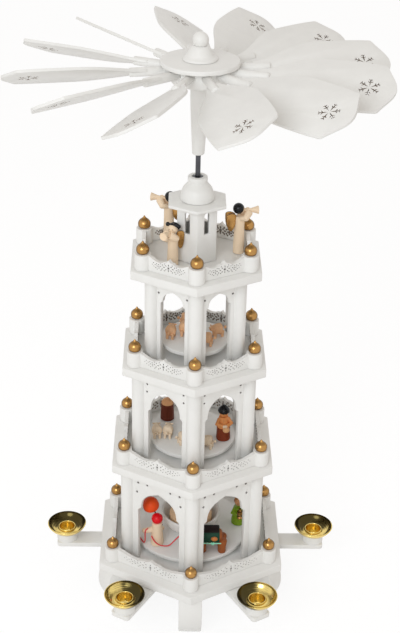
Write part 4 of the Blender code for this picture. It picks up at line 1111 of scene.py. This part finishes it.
def sheep(fleece):
    """Round woolly sheep at the origin that looks along +X."""
    body = grown("sheep", [
        [(-0.0040, 0.0, 0.0074, 0.0050), (-0.0012, 0.0, 0.0076, 0.0056),
         (0.0024, 0.0, 0.0077, 0.0052), (0.0046, 0.0, 0.0084, 0.0036),
         (0.0066, 0.0, 0.0090, 0.0027), (0.0088, 0.0, 0.0080, 0.0019)],
    ])
    parts = [painted(body, fleece),
             bead("tail", (0.0013, 0.0010, 0.0016), (-0.0068, 0.0, 0.0080), fleece, 12, 8)]
    for x, y in ((0.0034, 0.0024), (0.0034, -0.0024), (-0.0034, 0.0024), (-0.0034, -0.0024)):
        parts.append(tube("leg", [(x, y, 0.0), (x, y, 0.0026), (x, y * 0.9, 0.0060)],
                          (0.0013, 0.0013, 0.0018), fleece, 10))
    for side in (-1.0, 1.0):
        parts += [
            bead("ear", (0.0006, 0.0014, 0.0008), (0.0062, side * 0.0027, 0.0106), fleece, 12, 8),
            bead("eye", (0.0004,) * 3, (0.0082, side * 0.0017, 0.0092), black(), 8, 6),
        ]
    return smoothed(joined("sheep", parts), 70.0)


def make_elephant():
    """Stained elephant with ears, tusks and a harness."""
    place = standing(0, *ELEPHANT)
    stain = wood("elephant_stain", paints().brown, streak=0.5)
    bone = wood("bone", (0.86, 0.78, 0.62))
    body = grown("body", [
        [(-0.0112, 0.0, 0.0150, 0.0076), (-0.0030, 0.0, 0.0162, 0.0086),
         (0.0045, 0.0, 0.0166, 0.0080), (0.0100, 0.0, 0.0182, 0.0062),
         (0.0146, 0.0, 0.0190, 0.0056), (0.0186, 0.0, 0.0160, 0.0030),
         (0.0204, 0.0, 0.0112, 0.0021), (0.0213, 0.0, 0.0060, 0.0015)],
    ])
    parts = [painted(body, stain)]
    for x, y, girth in ((0.0085, 0.0042, 0.0033), (0.0085, -0.0042, 0.0033),
                        (-0.0098, 0.0041, 0.0040), (-0.0098, -0.0041, 0.0040)):
        parts.append(tube("leg", [(x, y, 0.0), (x, y, 0.0060), (x, y * 0.9, 0.0140)],
                          (girth, girth * 0.97, girth * 1.25), stain, 20))
    for side in (-1.0, 1.0):
        ear = bead("ear", (0.0034, 0.0008, 0.0048), (0.0, 0.0, 0.0), stain, 20, 12)
        parts += [
            settled(ear, moved(0.0114, side * 0.0054, 0.0186) @ spun(side * -24.0)),
            tube("tusk", [(0.0176, side * 0.0020, 0.0142), (0.0200, side * 0.0026, 0.0118),
                          (0.0222, side * 0.0026, 0.0112)], (0.0008, 0.0007, 0.0004), bone, 10),
            bead("eye", (0.0005,) * 3, (0.0174, side * 0.0038, 0.0204), black(), 10, 8),
        ]
    animal = smoothed(joined("elephant_carving", parts), 70.0)
    mounted(settled(animal, place), "rotor", "elephant")
    make_harness(place)


def saddle(name, first, last, radius, depth, reach):
    """Curved cover over the elephant's back, down to this many degrees from the top."""
    points = [(first, 0.96 * radius * math.sin(math.radians(a)),
               0.0162 + radius * math.cos(math.radians(a)))
              for a in range(-reach, reach + 1, reach // 8)]
    cover = traced(name, points)
    bpy.ops.mesh.select_all(action="SELECT")
    bpy.ops.mesh.extrude_region_move(TRANSFORM_OT_translate={"value": (last - first, 0.0, 0.0)})
    closed_up()
    changed(cover, "SOLIDIFY", thickness=depth, offset=0.0)
    return smoothed(eased(cover, depth * 0.3), 50.0)


def make_harness(place):
    """Back cover, blanket, ribbons with their bows, and side bags of the elephant."""
    parts = [
        painted(saddle("cover", -0.0066, 0.0078, 0.0094, 0.0010, 40),
                wood("cover_brown", (0.007, 0.0025, 0.0018), streak=3.0, gloss=0.7)),
        painted(saddle("blanket", -0.0072, 0.0086, 0.0090, 0.0008, 104),
                paint("blanket_green", (0.004, 0.045, 0.022), gloss=0.5)),
    ]
    mint = paint("ribbon_mint", (0.32, 0.82, 0.58), gloss=0.5)
    bag = wood("bag_wood", (0.58, 0.19, 0.05))
    for side in (-1.0, 1.0):
        ribbon = [(x, side * 0.0094, 0.0136) for x in (-0.0088, -0.0030, 0.0030, 0.0090)]
        parts.append(tube("ribbon", ribbon, (0.0006,) * 4, mint, 8))
        for lean in (-0.0012, 0.0012):
            bow = [(-0.0008 - lean, side * 0.0098, 0.0120), (-0.0008, side * 0.0101, 0.0136),
                   (-0.0008 + lean, side * 0.0098, 0.0152)]
            parts.append(tube("bow", bow, (0.0004, 0.0006, 0.0004), mint, 8))
        parts.append(bead("bag", (0.0032, 0.0018, 0.0024), (-0.0022, side * 0.0086, 0.0182), bag,
                          24, 14))
    harness = smoothed(joined("elephant_harness", parts), 60.0)
    mounted(settled(harness, place), "rotor")


# Figures
def gown(name, material, height, top, foot, flare=0.5):
    """Turned long coat that widens to its hem."""
    profile = [(0.0, height)]
    profile += arc((top - 0.0012, height - 0.0012), 0.0012, 90.0, 0.0, 4)
    profile += bezier((top, height - 0.0024), (top, height * (1.0 - flare)),
                      (foot, height * 0.4), (foot, 0.0010), 8)
    profile += arc((foot - 0.0006, 0.0006), 0.0006, 0.0, -90.0, 3) + [(0.0, 0.0)]
    return painted(turned(name, profile, 32), material)


def eyes(reach, height):
    """Two dots of black paint on the side towards +X."""
    return [bead("eye", (0.00036,) * 3, (reach * 0.93, side * reach * 0.36, height), black(), 8, 6)
            for side in (-1.0, 1.0)]


def sleeves(shoulder, width, hand, radii, cloth, skin):
    """Pair of bent sleeves that widen to their cuffs, with the hands in front."""
    pair = []
    for side in (-1.0, 1.0):
        elbow = (hand[0] * 0.45, side * width * 1.3, (shoulder + hand[2]) / 2 - 0.0016)
        wrist = (hand[0] * 0.9, side * 0.0016, hand[2])
        pair += [
            tube("sleeve", [(0.0, side * width * 0.7, shoulder), elbow, wrist], radii, cloth, 16),
            bead("hand", (radii[0] * 0.75,) * 3, (hand[0], side * 0.0010, hand[2]), skin, 12, 8),
        ]
    return pair


def figure(name, parts, place, body, *nodes):
    """Join a figure's parts, set it in its place and let it ride."""
    whole = smoothed(joined(name, parts), 60.0)
    mounted(settled(whole, place), body, *nodes)


def make_driver():
    """Driver in a bare wooden coat with a round red cap, who looks away to the back."""
    x, y, height = DRIVER
    head = height - 0.0050
    cap = paint("cap_red", paints().red, gloss=0.3, coat=0.1)
    parts = [
        gown("coat", beech(), 0.0248, 0.0050, 0.0063, 0.4),
        bead("head", (0.0045, 0.0045, 0.0046), (-0.0008, 0.0012, head - 0.0009), beech(), 24, 14),
        bead("cap", (0.0055, 0.0055, 0.0053), (0.0, 0.0, head), cap, 32, 18),
        tube("arm", [(-0.0020, 0.0, 0.0172), (-0.0072, -0.0003, 0.0156),
                     (-0.0120, -0.0005, 0.0150)], (0.0030, 0.0029, 0.0024), beech(), 16),
        bead("palm", (0.0024, 0.0023, 0.0024), (-0.0122, -0.0005, 0.0150), beech(), 16, 10),
        tube("forearm", [(0.0010, 0.0010, 0.0172), (0.0050, 0.0038, 0.0150),
                         (0.0058, 0.0050, 0.0138)], (0.0024, 0.0020, 0.0016), beech(), 14),
    ]
    figure("driver_turning", parts, standing(0, x, y), "rotor", "driver")


def make_parasol():
    """Closed orange parasol on a thin dark stick that leans over the driver."""
    x, y, _ = DRIVER
    crown = turned("canopy", [(0.0, 0.0074), (0.0010, 0.0073)]
                   + bezier((0.0022, 0.0070), (0.0064, 0.0062), (0.0080, 0.0022),
                            (0.0078, -0.0016), 10)
                   + bezier((0.0078, -0.0016), (0.0076, -0.0046), (0.0052, -0.0064),
                            (0.0030, -0.0066), 8)[1:] + [(0.0, -0.0066)], 40)
    settled(crown, moved(-0.0063, 0.0062, 0.0408) @ Matrix.Rotation(math.radians(-16.0), 4, "Y"))
    parts = [
        painted(crown, paint("canopy_orange", paints().orange, gloss=0.5)),
        tube("stick", [(0.0049, 0.0062, 0.0165), (-0.0005, 0.0062, 0.0282),
                       (-0.0058, 0.0062, 0.0400)], (0.0006,) * 3, black(), 12),
    ]
    figure("parasol_turning", parts, standing(0, x, y), "rotor", "parasol")


def make_king():
    """King in a green robe, with a gold vessel in front."""
    x, y, height = KING
    head = height - 0.0046
    robe = paint("robe_green", paints().green, gloss=0.3, coat=0.2)
    skin = wood("skin_tan", (0.62, 0.30, 0.14))
    hair = wood("hair_brown", (0.36, 0.15, 0.05))
    vessel = turned("vessel", [(0.0, 0.0112)]
                    + bezier((0.0012, 0.0110), (0.0018, 0.0102), (0.0010, 0.0090),
                             (0.0016, 0.0082), 4)
                    + bezier((0.0027, 0.0080), (0.0031, 0.0056), (0.0027, 0.0034),
                             (0.0015, 0.0020), 6)
                    + [(0.0026, 0.0008), (0.0026, 0.0), (0.0, 0.0)], 28)
    parts = [
        gown("robe", robe, 0.0190, 0.0052, 0.0070),
        bead("head", (0.0042, 0.0042, 0.0044), (0.0, 0.0, head), skin, 24, 14),
        bead("hair", (0.0044, 0.0046, 0.0044), (-0.0012, 0.0, head + 0.0006), hair, 24, 14),
        *sleeves(0.0172, 0.0050, (0.0074, 0.0, 0.0138), (0.0020, 0.0022, 0.0024), robe, skin),
        *eyes(0.0042, head),
        painted(settled(vessel, moved(0.0084, 0.0, 0.0108)), gold()),
    ]
    figure("king_turning", parts, standing(0, x, y, -84.0), "rotor", "king")


def make_bowl():
    """White bowl round the spindle, with a flat tan wooden core."""
    place = standing(0, 0.0, 0.0)
    profile = arc((0.0276, 0.0176), 0.0014, 90.0, 0.0, 5)
    profile += bezier((0.0290, 0.0170), (0.0282, 0.0100), (0.0250, 0.0030), (0.0150, 0.0), 12)
    profile += [(0.0027, 0.0), (0.0027, 0.0030), (0.0140, 0.0030)]
    profile += bezier((0.0160, 0.0030), (0.0235, 0.0060), (0.0256, 0.0110), (0.0262, 0.0178), 10)
    bowl = smoothed(turned("bowl_turning", profile, 72, True), 45.0)
    white_piece(bowl, "rotor", "bowl", place)
    profile = [(0.0027, 0.0150)] + arc((0.0198, 0.0140), 0.0010, 90.0, 0.0, 6)
    profile += [(0.0208, 0.0072), (0.0160, 0.0040), (0.0027, 0.0032)]
    core = settled(smoothed(turned("bowl_core", profile, 56, True), 45.0), place)
    mounted(painted(core, wood("core_wood", (0.90, 0.62, 0.38))), "rotor")


def make_shepherds():
    """Two shepherds on the second turntable, one with a round tan hat, one with a black one."""
    x, y, height = SHEPHERD_1
    dark = wood("coat_dark", (0.14, 0.025, 0.010), streak=0.45)
    tan = wood("hat_tan", (0.80, 0.42, 0.20))
    parts = [
        gown("coat", dark, height - 0.0050, 0.0060, 0.0066, 0.3),
        bead("hat", (0.0058, 0.0058, 0.0052), (0.0, 0.0, height - 0.0052), tan, 32, 16),
        bead("head", (0.0044,) * 3, (-0.0012, 0.0016, height - 0.0068), beech(), 24, 14),
    ]
    figure("shepherd_1_turning", parts, standing(1, x, y), "rotor", "shepherd_1")
    x, y, height = SHEPHERD_2
    head = height - 0.0083
    rust = wood("sleeve_rust", (0.78, 0.31, 0.10))
    coat = wood("coat_brown", (0.25, 0.045, 0.015), streak=0.5)
    pouch = wood("bag_tan", (0.76, 0.42, 0.20))
    belt = turned("belt", disc_profile(0.0064, 0.0132, 0.0120, 0.0030, 0.0004), 32, True)
    hat = turned("hat", [(0.0, height)]
                 + bezier((0.0016, 0.0362), (0.0036, 0.0346), (0.0050, 0.0328),
                          (0.0056, 0.0310), 6)
                 + bezier((0.0056, 0.0310), (0.0058, 0.0296), (0.0050, 0.0288),
                          (0.0040, 0.0286), 4)[1:] + [(0.0, 0.0290)], 32)
    parts = [
        gown("skirt", coat, 0.0132, 0.0062, 0.0066, 0.3),
        raised(gown("shirt", rust, 0.0144, 0.0046, 0.0060), 0.0100),
        painted(belt, coat),
        bead("head", (0.0043, 0.0043, 0.0044), (0.0, 0.0, head), rust, 24, 14),
        painted(hat, black()),
        bead("bag", (0.0026, 0.0034, 0.0030), (0.0064, 0.0014, 0.0128), pouch, 20, 12),
        *sleeves(0.0222, 0.0052, (0.0068, 0.0, 0.0168), (0.0020, 0.0022, 0.0020), rust, beech()),
        *eyes(0.0043, head),
    ]
    figure("shepherd_2_turning", parts, standing(1, x, y, -80.0), "rotor", "shepherd_2")


def dressed_hair(head):
    """Black hair of the first angel, with a band and two buns."""
    return [
        bead("hair", (0.0032, 0.0048, 0.0037), (-0.0026, 0.0, head + 0.0012), black(), 28, 14),
        tube("band", [(-0.0002, -0.0052, head + 0.0030), (0.0010, 0.0, head + 0.0040),
                      (-0.0002, 0.0052, head + 0.0030)], (0.0013, 0.0012, 0.0013), black(), 12),
        *[bead("bun", (0.0019,) * 3, (-0.0002, y, head + 0.0030), black(), 16, 10)
          for y in (-0.0054, 0.0054)],
    ]


def make_angels():
    """Three trumpeting angels in bare wood, with black hair and gold wings."""
    floor = plate_span(3)[1] + SEAT_GAP
    for number, (x, y, height, heading) in enumerate(ANGELS, 1):
        head, neck, mouth = height - 0.0050, height - 0.0112, height - 0.0064
        sweep, reach = (50.0, 0.0068) if number == 1 else (14.0, 0.0090)
        parts = [
            gown("gown", beech(), neck, 0.0044, 0.0049, 0.6),
            bead("head", (0.0043, 0.0043, 0.0045), (0.0, 0.0, head), beech(), 24, 14),
        ]
        if number == 1:
            parts += dressed_hair(head)
        else:
            parts.append(bead("hair", (0.0050, 0.0052, 0.0049), (-0.0011, 0.0, head + 0.0006),
                              black(), 28, 14))
        parts += sleeves(neck - 0.0016, 0.0046, (0.0092, 0.0, mouth - 0.0010),
                         (0.0022, 0.0029, 0.0034), beech(), beech())
        horn = turned("trumpet", [(0.0, 0.0155), (0.0022, 0.0152), (0.0036, 0.0165),
                                  (0.0037, 0.0163)]
                      + bezier((0.0033, 0.0152), (0.0022, 0.0120), (0.0014, 0.0080),
                               (0.0010, 0.0040), 8) + [(0.0, 0.0040)], 28)
        settled(horn, moved(0.0, 0.0, mouth) @ Matrix.Rotation(math.pi / 2, 4, "Y"))
        parts += [painted(horn, beech()), *eyes(0.0043, head + 0.0006)]
        parts += [angel_wing(side, neck - 0.0050, sweep, reach) for side in (-1.0, 1.0)]
        figure(f"angel_turning_{number}", parts, moved(x, y, floor) @ spun(heading), "stand",
               f"angel_{number}")


def angel_wing(side, height, sweep, reach):
    """Gold wing that stands back from an angel's shoulder, broad above and narrow below."""
    outline = bezier((0.0, 0.0060), (-0.2 * reach, 0.0086), (-0.9 * reach, 0.0090),
                     (-reach, 0.0060), 8)
    outline += bezier((-reach, 0.0060), (-1.02 * reach, 0.0), (-0.95 * reach, -0.0060),
                      (-0.62 * reach, -0.0084), 8)[1:]
    outline += bezier((-0.62 * reach, -0.0084), (-0.3 * reach, -0.0086), (0.0, -0.0060),
                      (0.0, 0.0060), 8)[1:-1]
    wing = painted(eased(sawn("wing", outline, 0.0016), 0.0004), gold())
    return settled(wing, moved(-0.0034, side * 0.0014, height) @ spun(-side * sweep) @ upright())


# Cords
def make_lead():
    """Red cord from the driver's hand to the elephant's trunk, and its loose tail."""
    material = finish("red_cord", "Wood Grain", paints().red, 0.45, 0.8, 0.7, 0.5, 0.0002)
    top = turntable_top(0)
    for name, route in (("red_lead", LEAD_ROUTE), ("lead_tail", TAIL_ROUTE)):
        points = [point + Vector((0.0, 0.0, top)) for point in flowing(route)]
        curve = bpy.data.curves.new(f"{name}_cord", "CURVE")
        curve.dimensions = "3D"
        curve.bevel_depth = sizes().lead / 2
        curve.bevel_resolution = 4
        curve.use_fill_caps = True
        spline = curve.splines.new("POLY")
        spline.points.add(len(points) - 1)
        for knot, point in zip(spline.points, points):
            knot.co = (*point, 1.0)
        cord = bpy.data.objects.new(f"{name}_cord", curve)
        bpy.context.scene.collection.objects.link(cord)
        curve.materials.append(material)
        mounted(cord, "rotor", name, slot="red_cord")


# Stage
def make_camera():
    """Camera at the photograph's place."""
    camera = bpy.data.objects.new("camera", bpy.data.cameras.new("camera"))
    camera.location = CAMERA_PLACE
    camera.rotation_euler = [math.radians(angle) for angle in CAMERA_TURN]
    camera.data.sensor_fit = "AUTO"
    camera.data.sensor_width = CAMERA_SENSOR
    camera.data.lens = CAMERA_LENS
    camera.data.clip_start = 0.01
    bpy.context.scene.collection.objects.link(camera)
    bpy.context.scene.camera = camera


def white_to_view(tree, strength):
    """Mask of this strength for what the camera sees, straight or through gloss and glass."""
    path = placed(tree, "LightPath")
    first, second = [placed(tree, "Math", operation="MAXIMUM") for _ in range(2)]
    share = placed(tree, "Math", operation="MULTIPLY")
    share.inputs[1].default_value = strength
    wired(tree, (path, "Is Camera Ray", first, 0), (path, "Is Glossy Ray", first, 1),
          (first, "Value", second, 0), (path, "Is Transmission Ray", second, 1),
          (second, "Value", share, 0))
    return share, "Value"


def make_floor():
    """Wide pale floor that shows almost white and keeps a soft shadow."""
    nothing_selected()
    bpy.ops.mesh.primitive_grid_add(x_subdivisions=4, y_subdivisions=4, size=8.0)
    floor = bpy.context.object
    floor.name = "studio_floor"
    material = bpy.data.materials.new("studio_floor")
    material.use_nodes = True
    tree = material.node_tree
    shader = tuned(tree.nodes["Principled BSDF"], Base_Color=(0.92, 0.92, 0.92, 1.0),
                   Roughness=0.9, Specular_IOR_Level=0.1)
    glow = placed(tree, "Emission", Strength=1.07)
    mix = placed(tree, "MixShader")
    wired(tree, (*white_to_view(tree, 0.80), mix, "Fac"), (shader, "BSDF", mix, 1),
          (glow, "Emission", mix, 2), (mix, "Shader", tree.nodes["Material Output"], "Surface"))
    floor.data.materials.append(material)


def make_lights():
    """Large cool key lamp at the front left and a weak wide lamp above."""
    for name, place, aim, size, power, colour in (
        ("key", (-0.6, -1.6, 1.2), (0.0, 0.0, 0.30), 1.0, 13.5, (0.94, 1.0, 1.06)),
        ("top", (0.1, 0.3, 2.0), (0.0, 0.0, 0.30), 1.6, 1.0, (1.0, 1.0, 1.0)),
    ):
        lamp = bpy.data.lights.new(name, "AREA")
        lamp.shape = "DISK"
        lamp.size = size
        lamp.energy = power
        lamp.color = colour
        holder = bpy.data.objects.new(name, lamp)
        holder.location = place
        holder.rotation_euler = (Vector(place) - Vector(aim)).to_track_quat("Z", "Y").to_euler()
        bpy.context.scene.collection.objects.link(holder)


def make_world():
    """Even warm light all round that shows as white."""
    world = bpy.data.worlds.new("studio")
    bpy.context.scene.world = world
    world.use_nodes = True
    tree = world.node_tree
    background = tree.nodes["Background"]
    seen = white_to_view(tree, 1.0)
    tint = placed(tree, "Mix", data_type="RGBA", A=(1.0, 0.95, 0.90, 1.0), B=(1.0, 1.0, 1.0, 1.0))
    level = placed(tree, "MapRange", To_Min=0.66, To_Max=1.0)
    wired(tree, (*seen, level, "Value"), (*seen, tint, "Factor"),
          (tint, "Result", background, "Color"), (level, "Result", background, "Strength"))
    bpy.context.scene.view_settings.view_transform = "Standard"


# Operators
class PYRAMID_OT_stage(bpy.types.Operator):
    """Camera, floor, lamps and world"""

    bl_idname = "pyramid.stage"
    bl_label = "Stage"

    def execute(self, context):
        make_camera()
        make_floor()
        make_lights()
        make_world()
        return {"FINISHED"}


class PYRAMID_OT_lead(bpy.types.Operator):
    """Red lead and its tail"""

    bl_idname = "pyramid.lead"
    bl_label = "Red lead"

    def execute(self, context):
        make_lead()
        return {"FINISHED"}


class PYRAMID_OT_base(bpy.types.Operator):
    """Base plate, legs, candle arms and brass cups"""

    bl_idname = "pyramid.base"
    bl_label = "Base"

    def execute(self, context):
        make_base()
        make_arms()
        make_cups()
        return {"FINISHED"}


class PYRAMID_OT_decks(bpy.types.Operator):
    """Storey decks and the gallery deck"""

    bl_idname = "pyramid.decks"
    bl_label = "Decks"

    def execute(self, context):
        make_decks()
        return {"FINISHED"}


class PYRAMID_OT_parapets(bpy.types.Operator):
    """Parapet boards, posts and finials"""

    bl_idname = "pyramid.parapets"
    bl_label = "Parapets"

    def execute(self, context):
        make_parapets()
        return {"FINISHED"}


class PYRAMID_OT_colonnades(bpy.types.Operator):
    """Columns and arch boards"""

    bl_idname = "pyramid.colonnades"
    bl_label = "Colonnades"

    def execute(self, context):
        make_colonnades()
        return {"FINISHED"}


class PYRAMID_OT_tower(bpy.types.Operator):
    """Tower, roof and bell-shaped cap"""

    bl_idname = "pyramid.tower"
    bl_label = "Tower"

    def execute(self, context):
        make_tower()
        return {"FINISHED"}


class PYRAMID_OT_wheel(bpy.types.Operator):
    """Spindle, shaft, hub and wings"""

    bl_idname = "pyramid.wheel"
    bl_label = "Wing wheel"

    def execute(self, context):
        make_steel()
        make_wheel_head()
        make_wings()
        return {"FINISHED"}


class PYRAMID_OT_turntables(bpy.types.Operator):
    """Turntables and their flocks"""

    bl_idname = "pyramid.turntables"
    bl_label = "Turntables"

    def execute(self, context):
        make_turntables()
        return {"FINISHED"}


class PYRAMID_OT_figures(bpy.types.Operator):
    """Elephant, driver with a parasol, king, bowl and shepherds"""

    bl_idname = "pyramid.figures"
    bl_label = "Figures"

    def execute(self, context):
        make_elephant()
        make_driver()
        make_parasol()
        make_king()
        make_bowl()
        make_shepherds()
        return {"FINISHED"}


class PYRAMID_OT_angels(bpy.types.Operator):
    """Trumpeting angels on the gallery"""

    bl_idname = "pyramid.angels"
    bl_label = "Angels"

    def execute(self, context):
        make_angels()
        return {"FINISHED"}


OPERATORS = (
    PYRAMID_OT_stage, PYRAMID_OT_lead, PYRAMID_OT_base, PYRAMID_OT_decks, PYRAMID_OT_parapets,
    PYRAMID_OT_colonnades, PYRAMID_OT_tower, PYRAMID_OT_wheel, PYRAMID_OT_turntables,
    PYRAMID_OT_figures, PYRAMID_OT_angels,
)


class PYRAMID_PT_pieces(bpy.types.Panel):
    """Buttons for the pieces, with their sizes and colours"""

    bl_idname = "PYRAMID_PT_pieces"
    bl_label = "Christmas Pyramid"
    bl_space_type = "VIEW_3D"
    bl_region_type = "UI"
    bl_category = "Pyramid"

    def draw(self, context):
        column = self.layout.column(align=True)
        for operator in OPERATORS:
            column.operator(operator.bl_idname)
        for group in (context.scene.pyramid_sizes, context.scene.pyramid_paints):
            column = self.layout.column(align=True)
            for name in group.bl_rna.properties.keys():
                if name not in {"rna_type", "name"}:
                    column.prop(group, name)


CLASSES = (PyramidPaints, PyramidSizes, *OPERATORS, PYRAMID_PT_pieces)


def register():
    """Register the classes and hang the settings on the scene."""
    for cls in CLASSES:
        bpy.utils.register_class(cls)
    bpy.types.Scene.pyramid_paints = bpy.props.PointerProperty(type=PyramidPaints)
    bpy.types.Scene.pyramid_sizes = bpy.props.PointerProperty(type=PyramidSizes)


def unregister():
    """Take the settings and the classes away again."""
    del bpy.types.Scene.pyramid_sizes
    del bpy.types.Scene.pyramid_paints
    for cls in reversed(CLASSES):
        bpy.utils.unregister_class(cls)


def main():
    """Build every piece, stage first."""
    register()
    for operator in OPERATORS:
        group, name = operator.bl_idname.split(".")
        getattr(getattr(bpy.ops, group), name)()
    nothing_selected()


if __name__ == "__main__":
    main()
